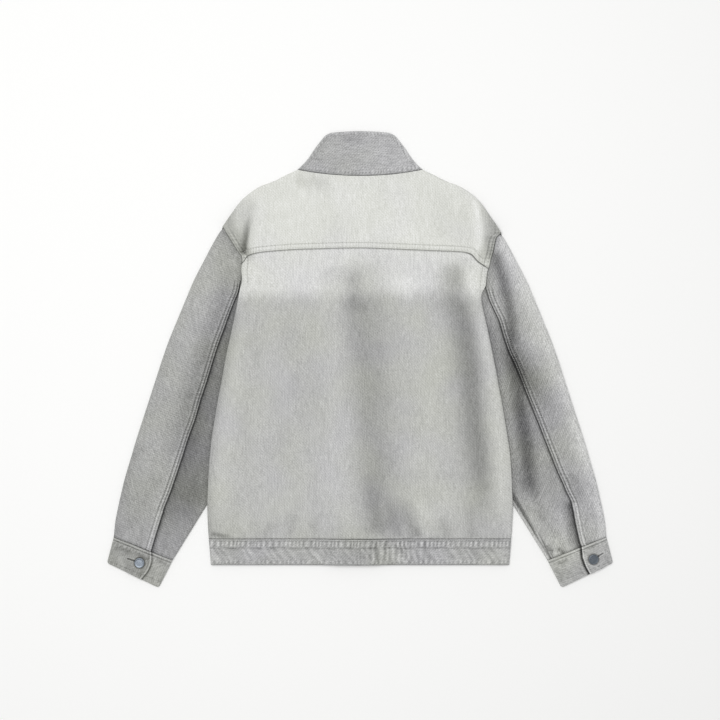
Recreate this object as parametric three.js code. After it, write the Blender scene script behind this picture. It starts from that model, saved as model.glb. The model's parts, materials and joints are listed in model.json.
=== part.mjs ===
// A denim jacket laid flat on its front, with its back upwards and its sleeves drawn down beside
// the body. X runs to the right, Y towards the collar and Z up; sizes are in millimetres.
// Every cloth piece is a thin wall. It is made of columns that run between two layers, a low one
// that lies on the floor and a high one on top, and that turn over where the cloth is folded.
import * as THREE from "three";

// Cloth and seams
const cloth = 1.2; // one layer of washed denim
const doubled = 2.2; // collar, cuffs and hem band, which are folded double
const seamGap = 0.5; // in plan, between two pieces that are sewn edge to edge
const lapGap = 0.35; // upwards, between pieces that lie on each other
const lapStep = 1.0; // how far a lapped edge stands above the piece it is sewn to
const lapWidth = 11; // width of the lapped edge, with its two rows of stitching
const tuckIn = 6; // how far the sleeve's head reaches in under the armhole's lapped edge
const foldReach = 7; // how far in from a fold the cloth takes to turn over
const ease = 1.5; // loose air between the back and the fronts

// Body, from the hem upwards
const hemEdge = -348.8;
const bandSeam = -304.5;
const neckDip = 311.3; // lowest point of the back neck seam
const neckHalf = 106;
const neckRise = 10.7; // rise of the neck seam from its middle to its ends
const frontNeck = 262; // where the front neck seam meets the closure
const shoulderNeck = 322; // height of the shoulder line at the neck
const frontLine = -10; // the closure's centre line
const lapHalf = 18; // half of the fronts' overlap
const underarmY = -45;
const underarmHalf = 135;

// Collar
const collarTop = 384.5;
const collarCrown = 2.8; // rise of its outer edge in the middle
const collarHalf = 50; // half width of its outer edge
const collarFrontEnd = 330; // height of its outer edge at the closure
const collarPart = 3; // from the closure's line to either end of the collar

// Buttons, shank buttons pressed from metal
const button = { radius: 8.6, thick: 3.0, rim: 0.9, dish: 0.7, shank: 3.4, sides: 14 };
const frontButtons = [230, 118, 6, -106, -218, -327]; // heights of those on the closure

// Heights of the stacked layers
const sleeveUnder = 4.4; // top of a sleeve where the body lies on it
const sleeveFree = 8.2; // top of a sleeve beside the body
const overSleeve = 5.5; // underside of the body where it lies on a sleeve
const lapLow = button.thick + lapGap; // underside of the left front, on its buttons
const cuffHigh = 5.8;
const collarHigh = 5.9;

// Half width of the body's edge, which is the fold at the side and above that the armhole seam
const edges = {
  left: [
    { y: -349, half: 253 },
    { y: -305, half: 256.5 },
    { y: -250, half: 259 },
    { y: -175, half: 256.5 },
    { y: -75, half: 242 },
    { y: 36, half: 220 },
    { y: 110, half: 205 },
    { y: 136, half: 201 },
    { y: 165, half: 200 },
    { y: 184, half: 208 },
    { y: 202, half: 219.5 },
    { y: 224, half: 233 },
  ],
  right: [
    { y: -349, half: 253 },
    { y: -305, half: 256.5 },
    { y: -250, half: 259 },
    { y: -175, half: 256 },
    { y: -75, half: 240 },
    { y: 36, half: 219 },
    { y: 108, half: 206 },
    { y: 124, half: 212.5 },
    { y: 154, half: 218 },
    { y: 181, half: 226 },
    { y: 202, half: 232 },
    { y: 214, half: 239.5 },
  ],
};
// Half width of the line under the body where the sleeve ends at the armhole, or is folded below it
const tucked = {
  left: [
    { y: -340.5, half: 318 },
    { y: -246, half: 259.5 },
    { y: -185, half: 222 },
    { y: -125, half: 185 },
    { y: -45, half: 135 },
    { y: 10, half: 172 },
    { y: 75, half: 195 },
    { y: 133, half: 201.5 },
  ],
  right: [
    { y: -340.5, half: 318 },
    { y: -246, half: 259.5 },
    { y: -185, half: 222 },
    { y: -125, half: 185 },
    { y: -45, half: 135 },
    { y: 10, half: 176 },
    { y: 75, half: 204 },
    { y: 123, half: 212.2 },
  ],
};
// Shoulder line from the neck to the armhole
const shoulder = [
  { half: 106, y: 322 },
  { half: 124, y: 314 },
  { half: 145, y: 303.8 },
  { half: 169, y: 294 },
  { half: 188.5, y: 282 },
  { half: 204.5, y: 267 },
  { half: 219, y: 246 },
  { half: 232.5, y: 225.5 },
  { half: 240, y: 213 },
];
// Yoke seam across the back, which turns down at the armholes
const yokeSeam = [
  { x: -200, y: 164 },
  { x: -193, y: 173.5 },
  { x: -184, y: 178 },
  { x: -150, y: 183.3 },
  { x: -102, y: 186.7 },
  { x: -3, y: 188.7 },
  { x: 100, y: 185.5 },
  { x: 162, y: 182.9 },
  { x: 180, y: 180.5 },
  { x: 193, y: 173.6 },
  { x: 217.8, y: 154.7 },
];
// Half width of the collar at the folds on its two sides
const collarFold = [
  { y: 322.5, half: 106 },
  { y: 333, half: 95 },
  { y: 342.6, half: 87 },
  { y: 360.7, half: 75 },
  { y: 373, half: 66.5 },
  { y: 381, half: 57.5 },
  { y: 384.5, half: 50 },
];
// Outer fold of a sleeve, from the armhole to the cuff
const sleeveOuter = [
  { y: -301, half: 418 },
  { y: -239, half: 408 },
  { y: -171, half: 390 },
  { y: -69, half: 358 },
  { y: 33, half: 324 },
  { y: 135, half: 281.5 },
  { y: 203, half: 246 },
  { y: 226, half: 232 },
];
// Seam down the back of each sleeve
const backSeam = {
  left: [
    { y: -326.3, half: 354 },
    { y: -256, half: 333 },
    { y: -166, half: 301 },
    { y: -67, half: 269 },
    { y: 25, half: 240 },
    { y: 95, half: 214 },
    { y: 133, half: 203 },
  ],
  right: [
    { y: -317.6, half: 376 },
    { y: -243, half: 360 },
    { y: -173, half: 327.6 },
    { y: -64, half: 284.4 },
    { y: 38, half: 243.8 },
    { y: 123, half: 213 },
  ],
};
// What differs between the two sides
const sides = {
  left: { sign: -1, head: 224.4, seamEnd: -326.3, seamTop: 133, lapTop: 0.64, lapEnd: 0.67, vent: -258 },
  right: { sign: 1, head: 213.9, seamEnd: -317.6, seamTop: 123, lapTop: 0.42, lapEnd: 0.45, vent: -243 },
};
const cuffButtons = { left: { half: 373.7, y: -344.8 }, right: { half: 395.8, y: -338.8 } };
// Corners of a cuff, given for the right one
const cuffCorners = {
  outerTop: { half: 418, y: -301 },
  innerTop: { half: 318, y: -340.5 },
  outerEnd: { half: 429.5, y: -345.3 },
  innerEnd: { half: 341.8, y: -387.4 },
};
const cuffWide = 107;
const cuffUnderlap = 18;
const ventWide = 9;

// Largest folds of the back: crests from top to end, with the widths of their two flanks
const bodyFolds = [
  { xTop: -26, yTop: 175, xEnd: -4, yEnd: -305, left: 95, right: 36, high: 5.5 }, // centre
  { xTop: 86, yTop: 175, xEnd: 106, yEnd: -305, left: 34, right: 46, high: 3 }, // right of centre
  { xTop: 190, yTop: 170, xEnd: 236, yEnd: -290, left: 19, right: 34, high: 4 }, // right side
  { xTop: -150, yTop: 150, xEnd: -160, yEnd: -280, left: 60, right: 70, high: 1.8 }, // left side
  { xTop: -172, yTop: 300, xEnd: -182, yEnd: 165, left: 12, right: 60, high: 3.6 }, // left shoulder
  { xTop: 184, yTop: 290, xEnd: 196, yEnd: 150, left: 50, right: 22, high: 2.8 }, // right shoulder
];
// Largest folds of the sleeves
const sleeveFolds = [
  { xTop: -238, yTop: 190, xEnd: -385, yEnd: -290, left: 34, right: 34, high: 2.6 }, // left outer
  { xTop: 262, yTop: 150, xEnd: 388, yEnd: -250, left: 26, right: 40, high: 3.4 }, // right outer
  { xTop: 236, yTop: -60, xEnd: 300, yEnd: -280, left: 20, right: 18, high: 1.6 }, // right inner
];

const { lerp, smoothstep } = THREE.MathUtils;
const sideOf = (x) => (x < 0 ? "left" : "right");

// A table's column at a place between its rows, on a smooth curve
function valueAt(table, key, place, column) {
  const last = table.length - 1;
  if (place <= table[0][key]) return table[0][column];
  if (place >= table[last][key]) return table[last][column];
  const i = table.findIndex((row, n) => n < last && place <= table[n + 1][key]);
  const slope = (n) => {
    const before = table[Math.max(n - 1, 0)];
    const after = table[Math.min(n + 1, last)];
    return (after[column] - before[column]) / (after[key] - before[key]);
  };
  const span = table[i + 1][key] - table[i][key];
  const t = (place - table[i][key]) / span;
  const bend = t * t * (3 - 2 * t);
  const lean = span * t * (1 - t) * ((1 - t) * slope(i) - t * slope(i + 1));
  return lerp(table[i][column], table[i + 1][column], bend) + lean;
}

const edgeHalf = (side, y) => valueAt(edges[side], "y", y, "half");
function tuckedHalf(side, y) {
  if (y > sides[side].seamTop) return edgeHalf(side, y);
  return valueAt(tucked[side], "y", y, "half");
}
// The fronts' armhole, hidden below, runs straight from the shoulder to the underarm
function frontArmhole(side, y) {
  const { head } = sides[side];
  return lerp(underarmHalf, edgeHalf(side, head), (y - underarmY) / (head - underarmY));
}
const shoulderY = (x) => valueAt(shoulder, "half", Math.abs(x), "y");
const neckY = (x) => neckDip + neckRise * (x / neckHalf) ** 2;
const yokeSeamY = (x) => valueAt(yokeSeam, "x", x, "y");
function frontTopY(x) {
  if (Math.abs(x) >= neckHalf) return shoulderY(x);
  const wide = neckHalf + (x < frontLine ? frontLine : -frontLine);
  return lerp(frontNeck, shoulderNeck, ((x - frontLine) / wide) ** 2);
}

// How high the folds raise the cloth at a point
function foldRise(folds, x, y, fade) {
  return folds.reduce((sum, fold) => {
    const down = (fold.yTop - y) / (fold.yTop - fold.yEnd);
    const off = x - lerp(fold.xTop, fold.xEnd, down);
    const width = off < 0 ? fold.left : fold.right;
    const length = smoothstep(down, -fade, fade) * (1 - smoothstep(down, 1 - fade, 1 + fade));
    return sum + fold.high * length * Math.exp(-((off / width) ** 2));
  }, 0);
}

// Heights of the layers. Near the hem they make room for the band, which is doubled.
const layer = (y) => lerp(cloth, doubled, smoothstep(-y, 265, 300));
const lapHigh = (y) => lapLow + layer(y) + lapGap;
const nearClosure = (x, reach) => 1 - smoothstep(Math.abs(x - frontLine), lapHalf + 3, reach);
function nearSleeve({ x, y }) {
  const inner = tuckedHalf(sideOf(x), y);
  return smoothstep(Math.abs(x), inner - 85, inner - 38) * (1 - smoothstep(-y, 232, 290));
}
// Underside of the fronts, which rises over the sleeves tucked below them
const frontLow = (p) => overSleeve * (1 - smoothstep(p.y, -40, 0)) * nearSleeve(p);
// Underside of the back's folded edges
const backLow = (p) => overSleeve * lerp(1, 0.5, smoothstep(p.y, 90, 150)) * nearSleeve(p);
// Top of the back, which drapes over the fronts, the closure and the tucked sleeves
function backHigh({ x, y }) {
  const closure = lapHigh(y) * nearClosure(x, 66) * lerp(1, 0.35, smoothstep(y, 265, 310));
  const folds = foldRise(bodyFolds, x, y, 0.12) * lerp(0.4, 1, smoothstep(y, -310, -240));
  return 2 * layer(y) + ease + closure + backLow({ x, y }) + folds;
}
// The yoke's edge stands above the back panel that it is sewn to
function yokeHigh({ x, y }) {
  return backHigh({ x, y }) + lapStep * (1 - smoothstep(y - yokeSeamY(x), lapWidth, lapWidth + 5));
}
function sleeveHigh({ x, y }) {
  const beside = smoothstep(Math.abs(x) - edgeHalf(sideOf(x), y), 6, 50);
  const atCuff = lerp(1, 0.5, smoothstep(-y, 230, 320));
  const folds = foldRise(sleeveFolds, x, y, 0.1);
  return sleeveUnder + beside * atCuff * (sleeveFree - sleeveUnder + folds);
}
const none = () => 0;

// Plan of a piece, stretched between four boundary curves: u runs along two of them, v along the
// other two
function patch(start, end, left, right) {
  return (u, v) => {
    const p = start(u).multiplyScalar(1 - v).addScaledVector(end(u), v);
    p.addScaledVector(left(v), 1 - u).addScaledVector(right(v), u);
    p.addScaledVector(start(0), -(1 - u) * (1 - v)).addScaledVector(start(1), -u * (1 - v));
    return p.addScaledVector(end(0), -(1 - u) * v).addScaledVector(end(1), -u * v);
  };
}
const at = (x, y) => new THREE.Vector2(x, y);
const spread = (from, to, count) => Array.from({ length: count + 1 }, (_, i) => lerp(from, to, i / count));
const joined = (...lists) => lists.flatMap((list, n) => (n ? list.slice(1) : list));

// Columns across a plan that stay in one layer: level 1 is the top one and level -1 the floor's
function flat(plan, from, to, count, level, lift = none) {
  return spread(from, to, count).map((u) => ({
    plan: (v) => plan(u, v),
    inset: () => at(0, 0),
    level,
    lift: (v) => lift(u, v, plan(u, v)),
  }));
}
// Columns that turn over at a fold, from one angle to another; reach is signed, away from the edge,
// and the wall is measured along X, or along Y at the shoulders
const turnSteps = 3;
function turn(plan, edge, reach, from, to, along = at(1, 0)) {
  return spread(from, to, turnSteps).map((angle) => ({
    plan: (v) => plan(edge + reach * (1 - Math.cos(angle)), v),
    inset: (v) => plan(edge + reach, v).sub(plan(edge, v)).multiply(along).setLength(Math.cos(angle)),
    level: Math.sin(angle),
    lift: none,
  }));
}
const quarter = Math.PI / 2;

// A closed wall through columns and rows, with its outer face outwards
function wall(name, columns, rows, { low = none, high, thick = cloth, rim = 0, folded = () => 1 }) {
  const outer = [];
  const inner = [];
  for (const v of rows)
    for (const column of columns) {
      const p = column.plan(v);
      const share = folded(p);
      const side = Math.sign(column.level + 1e-6 * (rim || 1));
      const level = lerp(side, column.level, share);
      const middle = (low(p) + high(p)) / 2 + rim;
      const reach = side > 0 ? high(p) - middle : middle - low(p);
      const lift = column.lift(v);
      const q = p.clone().addScaledVector(column.inset(v), thick * share);
      outer.push(new THREE.Vector3(p.x, p.y, middle + level * reach + lift));
      inner.push(new THREE.Vector3(q.x, q.y, middle + level * (reach - thick) + lift));
    }
  return closed(name, outer, inner, columns.length, rows.length);
}

// Triangles over two grids of points and around their rims
function closed(name, outer, inner, wide, long) {
  const total = outer.length;
  const faces = [];
  const quad = (a, b, c, d) => faces.push(a, b, c, a, c, d);
  for (let j = 0; j < long - 1; j++)
    for (let i = 0; i < wide - 1; i++) {
      const a = j * wide + i;
      quad(a, a + 1, a + wide + 1, a + wide);
      quad(total + a, total + a + wide, total + a + wide + 1, total + a + 1);
    }
  const edge = (a, b) => quad(b, a, total + a, total + b);
  for (let i = 0; i < wide - 1; i++) {
    edge(i, i + 1);
    edge(total - wide + i + 1, total - wide + i);
  }
  for (let j = 0; j < long - 1; j++) {
    edge((j + 1) * wide, j * wide);
    edge((j + 1) * wide - 1, (j + 2) * wide - 1);
  }
  const points = [...outer, ...inner];
  const volume = faces.reduce((sum, _, n) => {
    if (n % 3) return sum;
    const [a, b, c] = [points[faces[n]], points[faces[n + 1]], points[faces[n + 2]]];
    return sum + a.dot(b.clone().cross(c)) / 6;
  }, 0);
  if (volume < 0) faces.reverse();
  const geometry = new THREE.BufferGeometry();
  geometry.setAttribute("position", new THREE.Float32BufferAttribute(points.flatMap((p) => p.toArray()), 3));
  geometry.setIndex(faces);
  geometry.computeVertexNormals();
  const mesh = new THREE.Mesh(geometry, new THREE.MeshStandardMaterial(denim));
  mesh.name = name;
  return mesh;
}
const denim = { color: 0xb9bab5, roughness: 0.92, metalness: 0 };
const slate = { color: 0x59616f, roughness: 0.42, metalness: 0.85 };

// Shared divisions across the body, so that pieces sewn to each other keep the same facets
const bodyWide = 470;
const edgeTurn = foldReach / bodyWide;
const yokeEnds = { left: -200, right: 217.8, topLeft: -233, topRight: 239.5 };
const neckAt = (x) => (x - yokeEnds.topLeft) / (yokeEnds.topRight - yokeEnds.topLeft);
const acrossBack = joined(
  spread(edgeTurn, neckAt(-neckHalf), 5),
  spread(neckAt(-neckHalf), neckAt(neckHalf), 7),
  spread(neckAt(neckHalf), 1 - edgeTurn, 5),
);
const turnPlaces = spread(0, quarter, turnSteps).map((angle) => edgeTurn * (1 - Math.cos(angle)));
const acrossYoke = joined(turnPlaces, acrossBack, turnPlaces.map((u) => 1 - u).reverse());

// Back panel: from the hem band to the yoke seam, turned over at the sides below the armholes
function backPanel() {
  const seamX = (u) => lerp(yokeEnds.left, yokeEnds.right, u);
  const side = (name, top) => (v) => {
    const y = lerp(bandSeam + seamGap, top - seamGap, v);
    return at(sides[name].sign * edgeHalf(name, y), y);
  };
  const plan = patch(
    (u) => at(lerp(-edgeHalf("left", bandSeam), edgeHalf("right", bandSeam), u), bandSeam + seamGap),
    (u) => at(seamX(u), yokeSeamY(seamX(u)) - seamGap),
    side("left", yokeSeamY(yokeEnds.left)),
    side("right", yokeSeamY(yokeEnds.right)),
  );
  const columns = joined(
    turn(plan, 0, edgeTurn, 0, quarter),
    acrossBack.map((u) => flat(plan, u, u, 1, 1)[0]),
    turn(plan, 1, -edgeTurn, quarter, 0),
  );
  const folded = ({ y }) => 1 - smoothstep(y, 92, 128);
  return wall("back_panel", columns, spread(0, 1, 13), { low: backLow, high: backHigh, rim: lapGap / 2, folded });
}

// Yoke: from the yoke seam up to the neck seam, and turned over at the shoulders
function yoke() {
  const topX = (u) => lerp(yokeEnds.topLeft, yokeEnds.topRight, u);
  const topY = (x) => (Math.abs(x) < neckHalf + 1 ? neckY(x) - 2 * seamGap : shoulderY(x) - seamGap);
  const side = (name, low, high) => (v) => {
    const y = lerp(low, high, v);
    return at(sides[name].sign * edgeHalf(name, y), y);
  };
  const across = patch(
    (u) => at(lerp(yokeEnds.left, yokeEnds.right, u), yokeSeamY(lerp(yokeEnds.left, yokeEnds.right, u))),
    (u) => at(topX(u), topY(topX(u))),
    side("left", yokeSeamY(yokeEnds.left), topY(yokeEnds.topLeft)),
    side("right", yokeSeamY(yokeEnds.right), topY(yokeEnds.topRight)),
  );
  const upwards = (v, u) => across(u, v);
  const reach = foldReach / 110;
  const lapped = lapWidth / 120;
  const columns = joined(
    flat(upwards, 0, lapped, 1, 1),
    flat(upwards, lapped, 1 - reach, 4, 1),
    turn(upwards, 1, -reach, quarter, 0, at(0, 1)),
  );
  const folded = ({ x }) => {
    const atArmhole = edgeHalf(sideOf(x), 220) - Math.abs(x);
    return smoothstep(Math.abs(x), neckHalf - 6, neckHalf + 16) * smoothstep(atArmhole, 10, 30);
  };
  return wall("yoke", columns, acrossYoke, { high: yokeHigh, rim: lapGap / 2, folded });
}

// A front: flat on the floor, over its neighbour or the buttons at the closure, and turned over at
// the side, where it lies on the sleeve
function front(name, lap) {
  const { sign } = sides[name];
  const closureX = frontLine - sign * lapHalf;
  const endX = sign * Math.abs(sign < 0 ? yokeEnds.topLeft : yokeEnds.topRight);
  const low = bandSeam + seamGap;
  const high = frontTopY(endX);
  const sideX = (y) => (y < underarmY - 1 ? edgeHalf(name, y) : frontArmhole(name, y));
  const plan = (u, v) => {
    const y = lerp(low, high, v);
    const toTop = frontTopY(lerp(closureX, endX, u)) - high;
    return at(lerp(closureX, sign * sideX(y), u), y + toTop * smoothstep(v, 0.6, 1));
  };
  const rowAt = (y) => (y - low) / (high - low);
  const rows = joined(
    spread(0, rowAt(underarmY - 12), 7),
    spread(rowAt(underarmY - 12), rowAt(underarmY), 1),
    spread(rowAt(underarmY), 1, 7),
  );
  const reach = foldReach / 230;
  const lift = (u, v, p) => lap(p.y) * nearClosure(p.x, 56);
  const columns = joined(
    flat(plan, 0, lapHalf * 2.2 / 250, 1, -1, lift),
    flat(plan, lapHalf * 2.2 / 250, 56 / 250, 1, -1, lift),
    flat(plan, 56 / 250, 1 - reach, 5, -1, lift),
    turn(plan, 1, -reach, -quarter, 0),
  );
  const folded = ({ y }) => 1 - smoothstep(y, underarmY - 6, underarmY - 1);
  const heights = { low: frontLow, high: backHigh, rim: -lapGap / 2, folded };
  return wall(`front_${name}`, columns, rows, heights);
}

// Hem band: one doubled strip from the closure round both sides and across the back
function hemBand() {
  const y = (v) => lerp(bandSeam, hemEdge, v);
  const back = (u, v) => at(lerp(-edgeHalf("left", y(v)), edgeHalf("right", y(v)), u), y(v));
  const part = (name) => (u, v) => {
    const { sign } = sides[name];
    return at(lerp(sign * edgeHalf(name, y(v)), frontLine - sign * lapHalf, u), y(v));
  };
  const lifts = {
    left: (u, v, p) => lapLow * nearClosure(p.x, 56),
    right: (u, v, p) => lapHigh(p.y) * nearClosure(p.x, 56),
  };
  const reach = foldReach / 260;
  const floor = (name) => joined(
    turn(part(name), 0, reach, 0, -quarter),
    flat(part(name), reach, 0.76, 4, -1, lifts[name]),
    flat(part(name), 0.76, 0.84, 2, -1, lifts[name]),
    flat(part(name), 0.84, 1, 1, -1, lifts[name]),
  );
  const columns = joined(
    floor("left").reverse(),
    turn(back, 0, edgeTurn, 0, quarter),
    acrossBack.map((u) => flat(back, u, u, 1, 1)[0]),
    turn(back, 1, -edgeTurn, quarter, 0),
    floor("right"),
  );
  return wall("hem_band", columns, [0, 0.3, 0.7, 1], { low: frontLow, high: backHigh, thick: doubled });
}

// Collar: a doubled strip that stands up from the neck seam, turned over at both sides
function collar() {
  const fold = (sign) => (v) => {
    const y = lerp(shoulderNeck + seamGap, collarTop, v);
    return at(sign * valueAt(collarFold, "y", y, "half"), y);
  };
  const crown = (x) => collarTop + collarCrown * (1 - (x / collarHalf) ** 2);
  const back = patch(
    (u) => at(lerp(-neckHalf, neckHalf, u), neckY(lerp(-neckHalf, neckHalf, u)) + seamGap),
    (u) => at(lerp(-collarHalf, collarHalf, u), crown(lerp(-collarHalf, collarHalf, u))),
    fold(-1),
    fold(1),
  );
  const part = (sign) => {
    const end = frontLine + sign * collarPart;
    const seam = (x) => frontTopY(x) + 3 * seamGap * (1 - smoothstep(Math.abs(x), neckHalf - 12, neckHalf));
    return patch(
      (u) => at(lerp(sign * (neckHalf - 0.01), end, u), seam(lerp(sign * (neckHalf - 0.01), end, u)) + seamGap),
      (u) => at(lerp(sign * collarHalf, end, u), lerp(collarTop, collarFrontEnd, u ** 1.5)),
      fold(sign),
      (v) => at(end, lerp(seam(end) + seamGap, collarFrontEnd, v)),
    );
  };
  const reach = foldReach / 150;
  const floor = (sign) => joined(
    turn(part(sign), 0, 0.08, 0, -quarter),
    flat(part(sign), 0.08, 1, 6, -1),
  );
  const columns = joined(
    floor(-1).reverse(),
    turn(back, 0, reach, 0, quarter),
    flat(back, reach, 1 - reach, 10, 1),
    turn(back, 1, -reach, quarter, 0),
    floor(1),
  );
  const high = ({ y }) => collarHigh + 1.4 * smoothstep(y, 312, 345) * (1 - smoothstep(y, 350, 384));
  return wall("collar", columns, spread(0, 1, 4), { high, thick: doubled });
}

// Plans of a sleeve: top sleeve and under sleeve as they show, and the side that lies on the floor
function sleevePlans(name) {
  const { sign, head, seamTop, seamEnd } = sides[name];
  const along = (table, top, end) => (v) => {
    const y = lerp(top, end, v);
    return at(sign * valueAt(table, "y", y, "half"), y);
  };
  const armhole = (from, to, off) => (u) => {
    const y = lerp(from, to, u);
    return at(sign * (Math.max(tuckedHalf(name, y), frontArmhole(name, Math.min(y, 0)) + 3) + off), y);
  };
  const { outerTop, innerTop } = cuffCorners;
  const cuffLine = (from, to) => (u) => {
    const t = lerp(from, to, u);
    return at(sign * lerp(outerTop.half, innerTop.half, t), lerp(outerTop.y, innerTop.y, t));
  };
  const share = (seamEnd - outerTop.y) / (innerTop.y - outerTop.y);
  const outer = (off) => (v) => {
    const p = along(sleeveOuter, head, outerTop.y)(v);
    const start = sign * (edgeHalf(name, head) + off);
    return p.setX(lerp(start, p.x, smoothstep(v, 0, 0.03)));
  };
  const inner = along(tucked[name], underarmY, innerTop.y);
  const seam = along(backSeam[name], seamTop, seamEnd);
  const frontEdge = (u) => {
    const y = lerp(head, underarmY, u);
    return at(sign * (frontArmhole(name, y) + 1), y);
  };
  const beside = (curve) => (v) => curve(v).add(at(-sign * seamGap, 0));
  return {
    top: patch(armhole(head, seamTop, -tuckIn), cuffLine(0, share), outer(-tuckIn), seam),
    under: patch(armhole(seamTop, underarmY, 1), cuffLine(share, 1), beside(seam), inner),
    floor: patch(frontEdge, cuffLine(0, 1), outer(1), inner),
  };
}
const alongSleeve = spread(0, 1, 15);

// Top sleeve: from the back seam over the outer fold and along the floor to the inner fold
function topSleeve(name) {
  const { top, floor } = sleevePlans(name);
  const lapped = lapWidth / 80;
  const lift = (u) => lapStep * smoothstep(u, 1 - lapped - 0.05, 1 - lapped);
  const columns = joined(
    flat(top, 1, 1 - lapped, 1, 1, lift),
    flat(top, 1 - lapped, 0.09, 3, 1, lift),
    turn(top, 0, 0.09, quarter, 0),
    turn(floor, 0, 0.045, 0, -quarter),
    flat(floor, 0.045, 0.955, 3, -1),
    turn(floor, 1, -0.045, -quarter, 0),
  );
  return wall(`sleeve_${name}_top`, columns, alongSleeve, { high: sleeveHigh, rim: -1e-6 });
}
// Under sleeve: the strip between the back seam and the inner fold, partly below the body
function underSleeve(name) {
  const { under } = sleevePlans(name);
  const columns = joined(flat(under, 0, 0.9, 4, 1), turn(under, 1, -0.1, quarter, 0));
  return wall(`sleeve_${name}_under`, columns, alongSleeve, { high: sleeveHigh, rim: lapGap });
}

// Strip that binds the slit at the lower end of the back seam, on the top sleeve
function vent(name) {
  const { top } = sleevePlans(name);
  const { vent: ventTop, seamTop, seamEnd } = sides[name];
  const from = (ventTop - seamTop) / (seamEnd - seamTop);
  const wide = ventWide / 75;
  const columns = flat(top, 1, 1 - wide, 1, 1, () => lapStep + lapGap + cloth);
  const rows = [from, ...alongSleeve.filter((v) => v > from)];
  return wall(`vent_${name}`, columns, rows, { high: sleeveHigh });
}

// Cuff: a doubled strip round the sleeve's end, its outer part lapped over its inner one
function cuff(name) {
  const { sign, lapTop, lapEnd } = sides[name];
  const { outerTop, innerTop, outerEnd, innerEnd } = cuffCorners;
  const corner = (c) => at(sign * c.half, c.y);
  const plan = (u, v) => {
    const start = corner(outerTop).lerp(corner(innerTop), u);
    return start.lerp(corner(outerEnd).lerp(corner(innerEnd), u), v);
  };
  const lapAt = (v) => lerp(lapTop, lapEnd, v);
  const outerPart = (u, v) => plan(u * lapAt(v), v);
  const innerPart = (u, v) => plan(lerp(1, lapAt(v) - cuffUnderlap / cuffWide, u), v);
  const lift = (u, v) => {
    const inFrom = (1 - u) * lapAt(v) * cuffWide;
    return (doubled + lapGap) * (1 - smoothstep(inFrom, cuffUnderlap + 3, cuffUnderlap + 20));
  };
  const outerReach = foldReach / (cuffWide * lapTop);
  const innerReach = foldReach / (cuffWide * (1 - lapTop) + cuffUnderlap);
  const columns = joined(
    flat(outerPart, 1, outerReach, 6, 1, lift),
    turn(outerPart, 0, outerReach, quarter, 0),
    turn(plan, 0, foldReach / cuffWide, 0, -quarter),
    flat(plan, foldReach / cuffWide, 1 - foldReach / cuffWide, 3, -1),
    turn(plan, 1, -foldReach / cuffWide, -quarter, 0),
    turn(innerPart, 0, innerReach, 0, quarter),
    flat(innerPart, innerReach, 1, 4, 1),
  );
  const rows = [seamGap / 47, 0.35, 0.7, 1];
  return wall(`cuff_${name}`, columns, rows, { high: () => cuffHigh, thick: doubled });
}

// A shank button, its face upwards
function shankButton(name, height) {
  const { radius, thick, rim, dish, shank, sides: around } = button;
  const profile = [
    [0, 0],
    [shank, 0],
    [shank, 0.8],
    [radius - rim, 0.8],
    [radius, 0.8 + rim * 0.5],
    [radius, thick - rim * 0.5],
    [radius - rim * 0.6, thick],
    [radius - rim * 2.2, thick - dish],
    [0, thick - dish * 0.5],
  ].map(([x, y]) => at(x, y));
  const geometry = new THREE.LatheGeometry(profile, around).rotateX(quarter);
  const mesh = new THREE.Mesh(geometry, new THREE.MeshStandardMaterial(slate));
  mesh.name = name;
  mesh.position.z = height;
  return mesh;
}

const jacket = new THREE.Group();
jacket.add(backPanel(), yoke(), front("left", () => lapLow), front("right", lapHigh), hemBand(), collar());
for (const name of ["left", "right"]) {
  jacket.add(topSleeve(name), underSleeve(name), vent(name), cuff(name));
  const fastened = shankButton(`cuff_button_${name}`, cuffHigh + doubled + 2 * lapGap);
  const { half, y } = cuffButtons[name];
  fastened.position.setX(sides[name].sign * half).setY(y);
  jacket.add(fastened);
}
frontButtons.forEach((y, n) => {
  const fastened = shankButton(`front_button_${n + 1}`, button.thick);
  fastened.rotation.x = Math.PI;
  fastened.position.setX(frontLine).setY(y);
  jacket.add(fastened);
});
export default jacket;
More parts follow.
